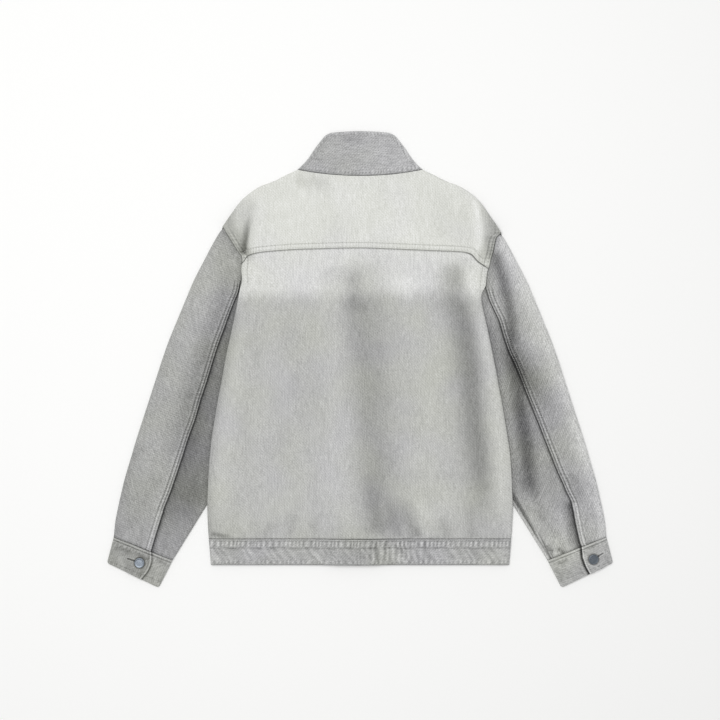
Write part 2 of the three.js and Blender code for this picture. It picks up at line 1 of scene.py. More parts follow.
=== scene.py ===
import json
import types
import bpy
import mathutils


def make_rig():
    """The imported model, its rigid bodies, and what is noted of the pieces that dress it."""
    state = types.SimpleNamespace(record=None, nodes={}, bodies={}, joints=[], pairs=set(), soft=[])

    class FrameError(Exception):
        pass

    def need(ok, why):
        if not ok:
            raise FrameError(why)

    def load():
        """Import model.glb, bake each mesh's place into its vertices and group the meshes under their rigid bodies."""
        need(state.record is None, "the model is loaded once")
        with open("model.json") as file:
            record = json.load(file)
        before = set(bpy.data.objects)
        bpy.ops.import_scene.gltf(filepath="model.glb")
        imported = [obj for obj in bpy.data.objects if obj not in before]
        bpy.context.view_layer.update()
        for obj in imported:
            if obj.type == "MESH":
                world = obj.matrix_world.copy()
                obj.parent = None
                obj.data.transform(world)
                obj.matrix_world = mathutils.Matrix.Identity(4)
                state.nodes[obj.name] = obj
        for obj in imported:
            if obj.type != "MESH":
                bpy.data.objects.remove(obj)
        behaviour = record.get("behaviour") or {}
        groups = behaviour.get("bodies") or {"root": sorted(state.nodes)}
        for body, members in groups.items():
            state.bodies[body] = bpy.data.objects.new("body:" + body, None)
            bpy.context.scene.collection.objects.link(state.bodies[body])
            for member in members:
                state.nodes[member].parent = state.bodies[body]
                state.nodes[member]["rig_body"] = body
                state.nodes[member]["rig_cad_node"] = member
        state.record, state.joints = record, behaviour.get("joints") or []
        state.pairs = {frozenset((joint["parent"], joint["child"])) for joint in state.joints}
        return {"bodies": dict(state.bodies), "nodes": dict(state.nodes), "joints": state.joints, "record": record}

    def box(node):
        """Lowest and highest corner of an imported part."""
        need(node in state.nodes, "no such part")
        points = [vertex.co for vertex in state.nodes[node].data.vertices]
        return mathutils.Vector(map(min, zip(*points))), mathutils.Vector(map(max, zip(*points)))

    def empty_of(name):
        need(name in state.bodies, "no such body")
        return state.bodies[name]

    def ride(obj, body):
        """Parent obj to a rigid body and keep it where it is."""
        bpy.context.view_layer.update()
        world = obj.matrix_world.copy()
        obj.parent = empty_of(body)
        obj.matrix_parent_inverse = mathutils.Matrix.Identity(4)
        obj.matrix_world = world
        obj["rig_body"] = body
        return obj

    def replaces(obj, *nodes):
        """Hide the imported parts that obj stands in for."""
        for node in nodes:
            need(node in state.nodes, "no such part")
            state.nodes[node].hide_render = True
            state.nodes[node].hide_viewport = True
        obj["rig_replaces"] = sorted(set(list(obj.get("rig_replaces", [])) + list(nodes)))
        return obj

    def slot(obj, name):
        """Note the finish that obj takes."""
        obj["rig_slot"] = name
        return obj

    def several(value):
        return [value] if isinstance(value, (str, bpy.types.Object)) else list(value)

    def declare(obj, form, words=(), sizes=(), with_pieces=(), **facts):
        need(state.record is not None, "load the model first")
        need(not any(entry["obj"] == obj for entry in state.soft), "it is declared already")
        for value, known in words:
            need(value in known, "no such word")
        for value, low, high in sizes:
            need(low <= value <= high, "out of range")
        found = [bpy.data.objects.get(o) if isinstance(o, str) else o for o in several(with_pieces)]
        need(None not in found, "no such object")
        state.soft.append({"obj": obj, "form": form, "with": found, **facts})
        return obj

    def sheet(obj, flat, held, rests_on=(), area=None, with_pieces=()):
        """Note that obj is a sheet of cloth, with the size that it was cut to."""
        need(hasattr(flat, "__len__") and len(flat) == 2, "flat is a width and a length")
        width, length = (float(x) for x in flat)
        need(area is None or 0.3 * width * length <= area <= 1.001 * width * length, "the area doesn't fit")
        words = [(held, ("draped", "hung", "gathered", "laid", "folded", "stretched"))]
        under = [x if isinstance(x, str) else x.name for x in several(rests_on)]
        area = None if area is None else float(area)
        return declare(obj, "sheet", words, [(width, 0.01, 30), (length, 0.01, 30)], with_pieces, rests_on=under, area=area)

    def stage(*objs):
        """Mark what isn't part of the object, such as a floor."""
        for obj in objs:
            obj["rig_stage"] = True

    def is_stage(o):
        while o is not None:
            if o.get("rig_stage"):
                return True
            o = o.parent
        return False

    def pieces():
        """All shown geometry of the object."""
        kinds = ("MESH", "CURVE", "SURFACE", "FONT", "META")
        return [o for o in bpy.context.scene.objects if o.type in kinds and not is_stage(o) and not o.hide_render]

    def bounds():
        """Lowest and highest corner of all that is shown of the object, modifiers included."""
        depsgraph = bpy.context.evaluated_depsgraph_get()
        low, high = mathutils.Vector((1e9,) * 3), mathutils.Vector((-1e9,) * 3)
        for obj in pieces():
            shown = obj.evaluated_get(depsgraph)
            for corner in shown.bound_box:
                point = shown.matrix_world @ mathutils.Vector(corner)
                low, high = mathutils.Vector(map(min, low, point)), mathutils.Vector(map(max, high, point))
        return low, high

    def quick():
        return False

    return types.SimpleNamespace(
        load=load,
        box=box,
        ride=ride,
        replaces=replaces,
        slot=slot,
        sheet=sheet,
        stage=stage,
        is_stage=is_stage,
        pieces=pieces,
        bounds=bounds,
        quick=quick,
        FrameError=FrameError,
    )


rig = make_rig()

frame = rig.load()
import json
import math
import bpy
import bmesh
from mathutils import Matrix, Vector, noise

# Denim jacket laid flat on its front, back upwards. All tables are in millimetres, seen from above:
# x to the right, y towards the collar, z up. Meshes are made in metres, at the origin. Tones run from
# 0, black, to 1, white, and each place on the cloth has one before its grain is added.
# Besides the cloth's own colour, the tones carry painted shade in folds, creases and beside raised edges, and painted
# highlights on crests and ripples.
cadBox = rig.bounds()
mm = 0.001
weld = 1e-5  # metres within which points are joined
coarse = 2 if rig.quick() else 1

# Cloth, seams and layers: thicknesses, stitch rows in from a sewn edge, and heights above the floor
cloth = {"single": 1.2, "double": 2.2, "ease": 1.5, "lap": 1.0, "foldReach": 7}
seam = {"first": 2.5, "second": 9.4, "wide": 11.5, "pucker": 7.4}
level = {
    "sleeveUnder": 4.4, "sleeveFree": 8.2, "overSleeve": 5.5, "lapLow": 3.35, "lapGap": 0.35, "cuff": 5.8,
    "collar": 5.9,
}
body = {
    "hem": -348.8, "band": -304.5, "neckDip": 311.3, "neckHalf": 106, "neckRise": 10.7,
    "frontNeck": 262, "shoulderNeck": 322, "closure": -10, "lapHalf": 18, "underarm": (135, -45),
    "overClosure": {"front": 56, "back": 66},  # how far from the closure its crest runs out
}

# Half width of the body: the fold at its side and, above, the armhole seam. Columns: y, half width.
# Both sides are alike near the hem.
lowerEdge = [
    (-349, 253.2), (-326, 255), (-306, 256.5), (-288, 258), (-250, 259), (-220, 258), (-187, 256.5),
    (-157, 254),
]
bodyEdge = {
    "left": [
        *lowerEdge,
        (-130, 251), (-100, 246), (-70, 241), (-50, 237), (-22, 232), (5, 227), (30, 221.5), (51, 217),
        (78, 211), (109, 205), (131, 200.8), (152, 202), (165, 200.3), (175, 201.5), (183, 207.7),
        (202, 219.5), (224.4, 233.1),
    ],
    "right": [
        *lowerEdge,
        (-130, 250), (-100, 245), (-70, 240), (-50, 236), (-22, 231), (5, 225.5), (30, 220.5), (51, 216),
        (78, 210), (95, 206.5), (109, 206.5), (123, 213.4), (136, 215), (149, 216.8), (158, 219.6),
        (171, 222.9), (181.4, 226.1), (194.5, 228.8), (207.4, 232.5), (213.9, 239.5),
    ],
}
# The line under the body where the sleeve ends at the armhole, or is folded below it: y, half width
belowArmhole = [(-340.5, 318), (-246, 259.5), (-185, 222), (-125, 185), (-45, 135)]
sleeveTucked = {
    "left": [*belowArmhole, (10, 172), (75, 195), (133, 201.5)],
    "right": [*belowArmhole, (10, 176), (75, 204), (123, 212.2)],
}
sleeveOuter = [  # y, half width
    (-301, 418), (-273, 415), (-239, 408), (-205, 400), (-171, 390), (-137, 380), (-103, 369), (-69, 358),
    (-35, 347), (-1, 336), (33, 324), (67, 310), (101, 296), (135, 281.5), (169, 264), (203, 246),
    (226, 232),
]
backSeam = {  # y, half width
    "left": [
        (-326.3, 354), (-323.5, 353.8), (-256, 333), (-228.3, 322.2), (-195.8, 310.9), (-166.3, 301.1),
        (-131, 289.7), (-101.7, 279.1), (-67.5, 269.3), (-38.3, 259.6), (-10.7, 251.4), (25.2, 240),
        (51.2, 230.4), (74, 222.2), (95, 214), (114.6, 205.9), (133, 203),
    ],
    "right": [
        (-317.6, 376), (-310.6, 373), (-277.3, 365.3), (-244.6, 358.9), (-225.1, 349.7), (-209.6, 343.2),
        (-192.6, 335.4), (-173.1, 327.6), (-149.6, 318.4), (-130.2, 310.8), (-100.1, 299), (-64.3, 284.4),
        (-35, 273), (-7.3, 261.6), (13.8, 251.9), (38.1, 243.8), (65.8, 235.6), (82.8, 227.5),
        (101.5, 219.3), (123, 213),
    ],
}
shoulderLine = [  # half width, y
    (106, 322), (118.8, 316), (128, 312), (144.4, 303), (168, 294.3), (187.5, 282), (204.3, 266.5),
    (218.5, 246.5), (232.6, 225.7), (239.9, 213.9),
]
yokeSeam = [  # x, y
    (-200, 164), (-196, 168), (-192, 174), (-185.6, 177.5), (-172.6, 180.7), (-150.5, 183.3),
    (-127, 185.3), (-102, 186.7), (-2.6, 188.7), (60, 187), (118.8, 184.6), (161.8, 182.9),
    (177.3, 181.4), (187.9, 178.5), (193, 173.6), (199.4, 166.4), (210, 159.3), (217.8, 154.7),
]
collarFold = [  # y, half width
    (322.5, 106), (333, 95), (342.6, 87), (357.2, 77.2), (370.3, 67.3), (380, 59), (384, 51.5),
    (385.4, 46),
]
# head, seamTop, seamEnd and vent are y: the armhole's top, the back seam's ends and the top of the slit
# above the cuff. lap is where the cuff's overlap ends across it, at its seam and at its free end.
sides = {
    "left": {
        "sign": -1, "head": 224.4, "seamTop": 133, "seamEnd": -326.3, "lap": (0.64, 0.67), "vent": -257,
        "shoulderX": -233,
    },
    "right": {
        "sign": 1, "head": 213.9, "seamTop": 123, "seamEnd": -317.6, "lap": (0.42, 0.45), "vent": -243.5,
        "shoulderX": 239.5,
    },
}
cuffCorner = {
    "outerTop": (418, -301), "innerTop": (318, -340.5),
    "outerEnd": (429.5, -345.3), "innerEnd": (341.8, -387.4),
}


def lerp(a, b, t):  # from a at 0 to b at 1
    return a + (b - a) * t


def smooth(place, low, high):  # 0 below low, 1 above high, and a soft step between
    t = min(max((place - low) / (high - low), 0.0), 1.0)
    return t * t * (3 - 2 * t)


def bell(off, wide):  # 1 at the middle, fading out to both sides
    return math.exp(-((off / wide) ** 2))


def spread(start, end, count):  # evenly spaced places, both ends too
    return [lerp(start, end, i / count) for i in range(count + 1)]


def joined(*lists):  # lists end to end, where each begins at the last one's end
    return list(lists[0]) + [item for part in lists[1:] for item in part[1:]]


def onCurve(table, place):  # a smooth curve through a table's rows
    if place <= table[0][0]:
        return table[0][1]
    if place >= table[-1][0]:
        return table[-1][1]
    low, high = 0, len(table) - 1
    while high - low > 1:
        middle = (low + high) // 2
        low, high = (middle, high) if table[middle][0] <= place else (low, middle)
    before, after = table[max(low - 1, 0)], table[min(high + 1, len(table) - 1)]
    a, b = table[low], table[high]
    span = b[0] - a[0]
    t = (place - a[0]) / span
    slopeA = (b[1] - before[1]) / (b[0] - before[0])
    slopeB = (after[1] - a[1]) / (after[0] - a[0])
    bend = t * t * (3 - 2 * t)
    return lerp(a[1], b[1], bend) + span * t * (1 - t) * ((1 - t) * slopeA - t * slopeB)


def sideOf(x):
    return "left" if x < 0 else "right"


def edgeHalf(side, y):
    return onCurve(bodyEdge[side], y)


def tuckedHalf(side, y):
    return edgeHalf(side, y) if y > sides[side]["seamTop"] else onCurve(sleeveTucked[side], y)


def frontArmhole(side, y):
    half, low = body["underarm"]
    head = sides[side]["head"]
    return lerp(half, edgeHalf(side, head), (y - low) / (head - low))


def shoulderY(x):
    return onCurve(shoulderLine, abs(x))


def neckY(x):
    return body["neckDip"] + body["neckRise"] * (x / body["neckHalf"]) ** 2


def yokeSeamY(x):
    return onCurve(yokeSeam, x)


def frontTopY(x):
    if abs(x) >= body["neckHalf"]:
        return shoulderY(x)
    wide = body["neckHalf"] + (body["closure"] if x < body["closure"] else -body["closure"])
    return lerp(body["frontNeck"], body["shoulderNeck"], ((x - body["closure"]) / wide) ** 2)


def rough(x, y, size, seed=0.0):  # soft unevenness, about -1 to 1
    return noise.noise(Vector((x / size, y / size, seed)))


# Folds. Each row has a path, half widths to the left and right of it seen along the path, a height, a
# change of tone (painted shade in the troughs and painted highlight on the crests, where the wash also
# left the cloth paler), and the lengths over which its ends fade.
foldColumns = ("path", "wide", "high", "tone", "fade")


def measured(rows):  # the folds, each with its segments, its length and the box it reaches over
    folds = [dict(zip(foldColumns, row)) for row in rows]
    for fold in folds:
        points = [Vector(p) for p in fold["path"]]
        fold["legs"] = []
        fold["run"] = 0.0
        for a, b in zip(points, points[1:]):
            fold["legs"].append((a, (b - a).normalized(), (b - a).length, fold["run"]))
            fold["run"] += (b - a).length
        reach = 2.6 * max(fold["wide"])
        xs, ys = [p.x for p in points], [p.y for p in points]
        fold["box"] = (min(xs) - reach, max(xs) + reach, min(ys) - reach, max(ys) + reach)
    return folds


backFolds = measured([
    ([(-20, 182), (-9, 132), (-4, 80), (6, 16), (14, -47), (20, -159), (26, -240), (38, -300)],
     (42, 27), -2.6, -0.098, (46, 20)),
    ([(-14, 160), (-8, 110), (-2, 70)], (13, 15), -0.8, -0.055, (24, 24)),
    ([(-50, 172), (-44, 40), (-36, -60), (-34, -170), (-36, -300)], (30, 26), 2.0, 0.01, (50, 30)),
    ([(150, 178), (161, 150), (163, 120), (167, 98), (177, 67), (186, 16), (191, -35), (197, -103),
      (205, -171), (211, -239), (222, -298)], (15, 27), -3.0, -0.172, (40, 130)),
    ([(186, 158), (198, 110), (206, 60), (216, 0), (226, -60), (238, -150), (242, -290)],
     (11, 9), 2.0, 0.03, (20, 40)),
    ([(96, 160), (104, 40), (112, -80), (120, -200), (128, -296)], (34, 26), 1.8, 0.012, (60, 40)),
    ([(-58, 164), (-54, 132), (-52, 102)], (17, 17), 0, -0.045, (16, 12)),
    ([(72, 150), (80, 120), (84, 90)], (22, 20), 0.8, 0.03, (20, 20)),
    ([(14, -190), (22, -250), (30, -303)], (15, 12), -0.8, -0.045, (50, 3)),
    ([(50, -228), (57, -268), (60, -303)], (13, 10), -1.1, -0.06, (40, 3)),
    ([(70, -226), (82, -268), (94, -303)], (10, 13), -1.2, -0.082, (44, 3)),
    ([(38, -280), (43, -303)], (3.5, 5), -0.5, -0.05, (12, 2)),
    ([(64, -276), (69, -303)], (3, 5), -0.5, -0.05, (14, 2)),
    ([(92, -280), (103, -303)], (4, 5), -0.6, -0.07, (12, 2)),
    ([(100, -225), (112, -270), (119, -303)], (12, 9), 1.4, 0.03, (30, 3)),
    ([(136, -262), (144, -282), (150, -303)], (7, 8), -1.2, -0.045, (14, 3)),
    ([(186, -240), (190, -275), (193, -303)], (7, 9), -1.2, -0.05, (20, 3)),
    ([(-104, -250), (-111, -275), (-119, -300)], (5, 6), -1.4, -0.035, (16, 3)),
    ([(-62, -256), (-72, -272), (-82, -298)], (5, 7), -1.2, -0.035, (14, 3)),
    ([(-150, -272), (-154, -286), (-160, -301)], (6, 8), -1.0, -0.03, (10, 3)),
    ([(-254, -295), (-238, -298.5), (-212, -302.5)], (3.5, 3.5), -1.4, -0.16, (4, 22)),
    ([(-196, 120), (-205, 20), (-222, -90), (-232, -200), (-238, -290)], (15, 22), 1.5, 0.012, (60, 40)),
    ([(-168, 140), (-176, 30), (-190, -80), (-204, -190), (-214, -280)], (16, 18), -1.2, -0.01, (70, 50)),
    ([(-100, 130), (-104, 20), (-96, -100), (-110, -230)], (26, 30), -1.0, -0.012, (80, 60)),
    # the creases inside the left armhole, with painted shade in them
    ([(-185.5, 286), (-189, 250), (-193, 212), (-196.5, 176)], (12, 13), -2.6, -0.085, (34, 4)),
    ([(-187.5, 250), (-190.5, 226), (-193.5, 204), (-197, 178)], (4, 6), -1.4, -0.28, (44, 3)),
    ([(-168, 268), (-172, 236), (-176, 190)], (11, 12), 1.4, 0.01, (30, 16)),
    ([(176, 270), (180, 232), (178, 186)], (12, 20), -1.2, -0.028, (24, 18)),
    ([(196, 276), (204, 232), (200, 176)], (9, 9), 1.6, 0.035, (24, 20)),
    ([(-112, 312), (-96, 304), (-60, 298), (-30, 296)], (12, 14), -0.8, -0.05, (10, 40)),
    ([(-54, 290), (-56, 250), (-44, 196)], (16, 18), -0.8, -0.02, (30, 12)),
    ([(142, 300), (146, 250), (144, 196)], (14, 16), -0.9, -0.015, (30, 20)),
    ([(70, 304), (66, 250), (60, 196)], (22, 22), 0.9, 0.01, (30, 20)),
])
sleeveFolds = {
    "left": measured([
        ([(-216, 160), (-224.6, 140), (-252, 67), (-270, -1), (-294, -74), (-318, -130)],
         (15, 15), -2.2, -0.02, (20, 50)),
        ([(-246, 165), (-284, 70), (-318, -30), (-345, -120), (-372, -220)], (24, 18), 1.8, 0.02, (40, 60)),
        ([(-205, 112), (-209, 84), (-222, 40), (-240, -20), (-262, -90), (-290, -175), (-318, -262)],
         (11, 13), -1.5, -0.02, (16, 40)),
        ([(-262, -128), (-286, -190), (-312, -252)], (8, 10), 1.2, 0.02, (24, 24)),
        ([(-340, -190), (-362, -236), (-392, -290)], (10, 12), -1.3, -0.02, (20, 12)),
        ([(-300, 30), (-330, 6), (-344, -4)], (7, 9), -0.8, -0.012, (20, 10)),
        ([(-352, -140), (-376, -158), (-392, -170)], (7, 9), -0.9, -0.015, (14, 10)),
        ([(-388, -270), (-398, -286), (-404, -303)], (6, 6), -0.9, -0.02, (8, 3)),
        ([(-366, -282), (-372, -300), (-376, -317)], (5, 6), -0.8, -0.02, (8, 3)),
        ([(-322, -290), (-332, -312), (-338, -332)], (5, 6), -1.0, -0.03, (8, 3)),
    ]),
    "right": measured([
        ([(231, 186), (234, 160), (246, 128), (250, 98), (253, 67), (254, 36), (257, 6), (266, -25),
          (271, -55), (273, -86), (278, -117), (283, -147), (286, -178), (288, -208), (299, -246)],
         (12, 16), -2.4, -0.03, (20, 44)),
        # painted shade only, with no height of its own: the valley between the back seam and the body
        ([(250, 40), (257, 6), (265, -25), (270, -55), (273, -86), (278, -117), (283, -147), (286, -178),
          (288, -208), (299, -246)], (12, 15), 0, -0.21, (60, 44)),
        # the valley beside the body below the armhole, with painted shade in it
        ([(229, 188), (235, 159), (244, 128), (251, 98), (257, 67), (258, 36), (259, 6)],
         (10, 9), -1.8, -0.17, (20, 44)),
        ([(262, 150), (288, 80), (306, 10), (326, -70), (350, -150), (376, -230)],
         (24, 16), 2.2, 0.02, (40, 50)),
        ([(240, -20), (250, -80), (262, -150), (282, -215), (300, -262)], (7, 8), 1.4, 0.03, (30, 30)),
        ([(352, -186), (366, -212), (378, -240)], (9, 10), -1.4, -0.05, (20, 18)),
        ([(289, -222), (306, -246), (330, -268)], (6, 7), -1.8, -0.04, (12, 12)),
        ([(296, -250), (318, -278), (340, -306)], (6, 7), -1.7, -0.04, (12, 10)),
        ([(300, -232), (322, -256), (348, -280)], (5, 6), 1.2, 0.03, (10, 10)),
        ([(316, -314), (322, -321), (330, -328)], (2.6, 3.5), -1.2, -0.18, (5, 3)),
        ([(334, -318), (340, -324), (347, -330)], (2.6, 3), -1.2, -0.20, (6, 2)),
        ([(325, -322), (331, -326), (336, -331)], (3, 3), 0.8, 0.07, (4, 2)),
        ([(296, 62), (314, 44), (324, 26)], (7, 9), -0.9, -0.015, (14, 8)),
        ([(340, -70), (352, -88), (362, -100)], (6, 8), -0.8, -0.015, (12, 8)),
        ([(398, -262), (404, -282), (408, -300)], (5, 6), -0.9, -0.02, (8, 3)),
        ([(352, -270), (356, -292), (360, -312)], (4, 6), -1.2, -0.05, (10, 4)),
    ]),
}
frontFolds = measured([  # on the side that lies down, like the back's but gentler
    ([(-60, 180), (-70, 40), (-62, -120), (-74, -280)], (18, 22), 0.7, -0.02, (60, 60)),
    ([(110, 190), (104, 60), (116, -100), (108, -270)], (20, 18), 0.7, -0.02, (60, 60)),
    ([(62, 150), (70, 20), (60, -140)], (14, 16), 0.5, -0.012, (60, 60)),
])


def foldsAt(folds, x, y):  # height and tone that the folds add at a point
    high, tone = 0.0, 0.0
    for fold in folds:
        x0, x1, y0, y1 = fold["box"]
        if not (x0 < x < x1 and y0 < y < y1):
            continue
        best = None
        for a, along, length, run in fold["legs"]:
            dx, dy = x - a.x, y - a.y
            t = min(max(dx * along.x + dy * along.y, 0.0), length)
            ox, oy = dx - along.x * t, dy - along.y * t
            far = ox * ox + oy * oy
            if best is None or far < best[0]:
                best = (far, along.x * dy - along.y * dx, run + t)
        wide = fold["wide"][0 if best[1] > 0 else 1]
        fadeIn, fadeOut = fold["fade"]
        ends = smooth(best[2], 0, fadeIn) * (1 - smooth(best[2], fold["run"] - fadeOut, fold["run"]))
        share = math.exp(-best[0] / wide**2) * ends
        high += fold["high"] * share
        tone += fold["tone"] * share
    return high, tone


def pucker(run, seed, period=seam["pucker"]):  # uneven ripples along a sewn edge, about -1 to 1
    drift = noise.noise(Vector((run / 23, seed, 0.3)))
    size = 0.7 + 0.75 * noise.noise(Vector((run / 17, seed, 7.1)))
    return max(size, 0.1) * math.sin(2 * math.pi * (run / period + 1.1 * drift))


def lapped(off, run, seed, wearAndShade=1.0):  # a sewn-down edge; off is the way in from the edge
    wide = seam["wide"]
    step = cloth["lap"] * (1 - smooth(off, wide - 1, wide + 2.5))
    step -= 0.7 * bell(off, 0.9)
    ridges = pucker(run, seed, 5.6)
    between = smooth(off, 0.5, 2) * (1 - smooth(off, wide - 3, wide + 1))
    beyond = 0.3 * smooth(off, wide - 3, wide + 1) * (1 - smooth(off, wide + 2, wide + 14))
    rows = bell(off - seam["first"], 0.8) + bell(off - seam["second"], 0.8)
    high = step + 0.36 * ridges * (between + beyond) - 0.34 * rows
    # The tone follows the ripples as painted light and shade, with a painted shadow along the sewn-down edge. A higher
    # strength deepens the pale lines of wear and the painted shade alike.
    tone = 0.045 * ridges * (between + beyond) + 0.05 * bell(off - 2.1, 0.8) - 0.26 * bell(off - 0.2, 1.1)
    tone -= 0.04 * bell(off - seam["first"] - 0.8, 0.8) + 0.09 * bell(off - seam["second"], 0.9)
    wearAndShadeTone = 0.09 * bell(off - 6.4, 1.3) - 0.20 * bell(off - 4.2, 1.0) + 0.05 * bell(off - 12, 2)
    tone += (wearAndShade - 1) * wearAndShadeTone
    tone -= (wearAndShade - 1) * 0.12 * bell(off - seam["second"], 1.0)
    return high, tone * wearAndShade


def nearClosure(x, reach):
    return 1 - smooth(abs(x - body["closure"]), body["lapHalf"] + 3, reach)


def besideLine(line, x, y):  # along a line from its start, its length, and how far to the side of it
    (ax, ay), (bx, by) = line
    long = math.hypot(bx - ax, by - ay)
    run = ((x - ax) * (bx - ax) + (y - ay) * (by - ay)) / long
    return run, long, ((x - ax) * (by - ay) - (y - ay) * (bx - ax)) / long


def nearSleeve(x, y):
    inner = tuckedHalf(sideOf(x), y)
    return smooth(abs(x), inner - 85, inner - 38) * (1 - smooth(-y, 232, 290))


def layer(y):
    return lerp(cloth["single"], cloth["double"], smooth(-y, 265, 300))


def lapHigh(y):
    return level["lapLow"] + layer(y) + level["lapGap"]


def closureLift(side, x, y):  # the fronts and the band rise over the buttons, the right one over the left
    lift = level["lapLow"] if side == "left" else lapHigh(y)
    return lift * nearClosure(x, body["overClosure"]["front"])


def frontLow(x, y):
    return level["overSleeve"] * (1 - smooth(y, -40, 0)) * nearSleeve(x, y)


def backLow(x, y):
    return level["overSleeve"] * lerp(1, 0.5, smooth(y, 90, 150)) * nearSleeve(x, y)


# Crest of the closure below the back, and the largest soft rises that the solids have too
def backBase(x, y):
    closure = lapHigh(y) * nearClosure(x, body["overClosure"]["back"]) * lerp(1, 0.35, smooth(y, 265, 310))
    return 2 * layer(y) + cloth["ease"] + closure + backLow(x, y) + 1.2


def backTop(x, y):
    high, tone = foldsAt(backFolds, x, y)
    nearBand = lerp(0.45, 1, smooth(y, -312, -240))
    ripple = 0.35 * rough(x, y, 26, 1.0) + 0.8 * rough(x, y, 80, 2.0)
    return backBase(x, y) + high * nearBand + ripple, tone


def armholeEdge(x, y):  # the lapped edge beside the armhole, above the top of the back seam
    side = sideOf(x)
    low = sides[side]["seamTop"] - 12
    if y < low:
        return 0.0, 0.0
    off = (edgeHalf(side, y) - abs(x)) * 0.9
    if off > 30:
        return 0.0, 0.0
    wearAndShade = lerp(1, 1.35, smooth(y, 150, 180) * (1 - smooth(y, 205, 225)))
    high, tone = lapped(off, y, {"left": 3.0, "right": 4.0}[side], wearAndShade)
    # painted shade on the cloth beside the armhole at the shoulder
    tone -= 0.10 * (1 - smooth(off, 12, 26)) * smooth(y, 160, 178)
    share = smooth(y, low, low + 10)
    return high * share, tone * share


def panelTop(x, y):  # back panel; puckered where it goes in under the yoke and the hem band
    high, tone = backTop(x, y)
    edgeHigh, edgeTone = armholeEdge(x, y)
    below = yokeSeamY(x) - y
    under = pucker(x, 11.0) * (1 - smooth(below, 0, 13))
    above = pucker(x * 1.02, 12.0) * (1 - smooth(y - body["band"], 0, 16))
    high += edgeHigh + 0.22 * under + 0.3 * above
    # the band stands higher than the panel, so the panel dips into its seam
    high -= 0.6 * bell(y - body["band"], 2.2) + 0.5 * bell(below, 1.6)
    ends = smooth(x, 176, 188) + smooth(-x, 184, 196)
    # painted light and shade on the ripples, and painted shadow beside the edges of the yoke and the band, which stand
    # above the panel
    tone += edgeTone + 0.02 * under + 0.04 * above
    tone -= (0.19 + 0.34 * ends) * bell(below, 1.3)
    tone -= 0.12 * bell(y - body["band"], 1.2)
    return high, washAndShade(x, y) + tone


def yokeTop(x, y):
    high, tone = backTop(x, y)
    edgeHigh, edgeTone = armholeEdge(x, y)
    slope = (yokeSeamY(x + 1) - yokeSeamY(x - 1)) / 2
    off = (y - yokeSeamY(x)) / math.hypot(1, slope)
    lapHeight, lapTone = lapped(off, x, 5.0)
    share = smooth(edgeHalf(sideOf(x), y) - abs(x), 2, 16) if y > 120 else 1
    neck = neckY(x) - y if abs(x) < body["neckHalf"] else 99
    neckPucker = pucker(x, 6.0) * (1 - smooth(neck, 0, 12))
    high += edgeHigh + lapHeight * share + 0.2 * neckPucker - 0.5 * bell(neck, 1.4)
    # the tone follows the ripples at the neck as painted light and shade
    return high, washAndShade(x, y) + tone + edgeTone + lapTone * share + 0.02 * neckPucker


# Tone of the cloth as the wash left it, 0 dark to 1 white, before its grain, plus painted shade and highlight at the
# sides
def washAndShade(x, y):
    edge = 110 + 4 * rough(x, y, 45, 5.0) - 4 * bell(x - 5, 30) + 5 * bell(x - 90, 60) - 6 * bell(x - 175, 22)
    bleach = smooth(y, edge - 17, edge + 16)
    lower = lerp(0.732, 0.742, smooth(-y, 20, 180)) - 0.025 * smooth(-y, 250, 300)
    tone = lerp(lower, 0.842, bleach)
    tone += 0.018 * smooth(y, 183, 190)
    tone += 0.010 * rough(x, y, 60, 8.0) + 0.010 * rough(x * 2.4, y * 0.5, 34, 9.0)
    rightEdge = edgeHalf("right", y) - x
    leftEdge = edgeHalf("left", y) + x
    low = 1 - smooth(y, 60, 110)
    # painted shade on the yoke past its armhole folds, where it lies lower
    tone -= 0.11 * smooth(x - 0.14 * (256 - y), 198, 210) * smooth(y, 158, 178)
    tone -= 0.06 * smooth(-x, 194, 206) * smooth(y, 176, 190)
    # painted shade along the left side fold and a painted highlight along the right one, below the armholes
    fold = 0.08 * bell(leftEdge, 10) * (1 - smooth(-y, 60, 160) * 0.15)
    return tone + 0.025 * bell(rightEdge - 5, 11) * low - fold * low


def atSleeve(side, x, y):  # the top sleeve's tone, paler towards its outer fold
    outer = onCurve(sleeveOuter, y) - abs(x)
    inner = max(0.0, seamOff(side, x, y) if y < sides[side]["seamTop"] else abs(x) - edgeHalf(side, y))
    if side == "left":
        # on the left, painted shade beside the body
        shadeBesideBody = (1 - smooth(inner, 6, 46)) * smooth(y, -215, -70) * (1 - 0.7 * smooth(y, 100, 160))
        tone = 0.672 - 0.024 * smooth(-y, -50, 10) - 0.1 * shadeBesideBody
        tone -= 0.04 * bell(outer, 10) * smooth(-y, 120, 190)
    else:
        tone = lerp(0.61, 0.68, smooth(y, -60, 40)) + 0.03 * smooth(-y, 90, 150) + 0.03 * smooth(-y, 200, 300)
        # on the right, painted shade in the valley beside the body and a painted highlight along the outer fold
        tone -= 0.15 * (1 - smooth(inner, 8, 44)) * smooth(y, -100, -20) * (1 - 0.95 * smooth(y, 15, 85))
        crest = 0.125 + 0.06 * smooth(-y, 0, 40) * (1 - smooth(-y, 170, 210))
        tone += crest * bell(outer, 22) + 0.02 * (1 - smooth(inner, 0, 16)) * smooth(-y, 180, 240)
    return tone + 0.012 * rough(x, y, 40, 14.0)


def atUnderSleeve(side, x, y):
    toBody = abs(x) - edgeHalf(side, y)
    if side == "left":
        # the left under-sleeve runs in under the body and is painted darker as shade
        tone = 0.478 + 0.065 * (1 - smooth(toBody, 0, 26)) + 0.14 * smooth(-y, 225, 310)
    else:
        tone = 0.625 + 0.02 * smooth(-y, 190, 240) + 0.065 * smooth(-y, 235, 300) - 0.05 * smooth(y, -50, 20)
    return tone + 0.012 * rough(x, y, 40, 15.0)


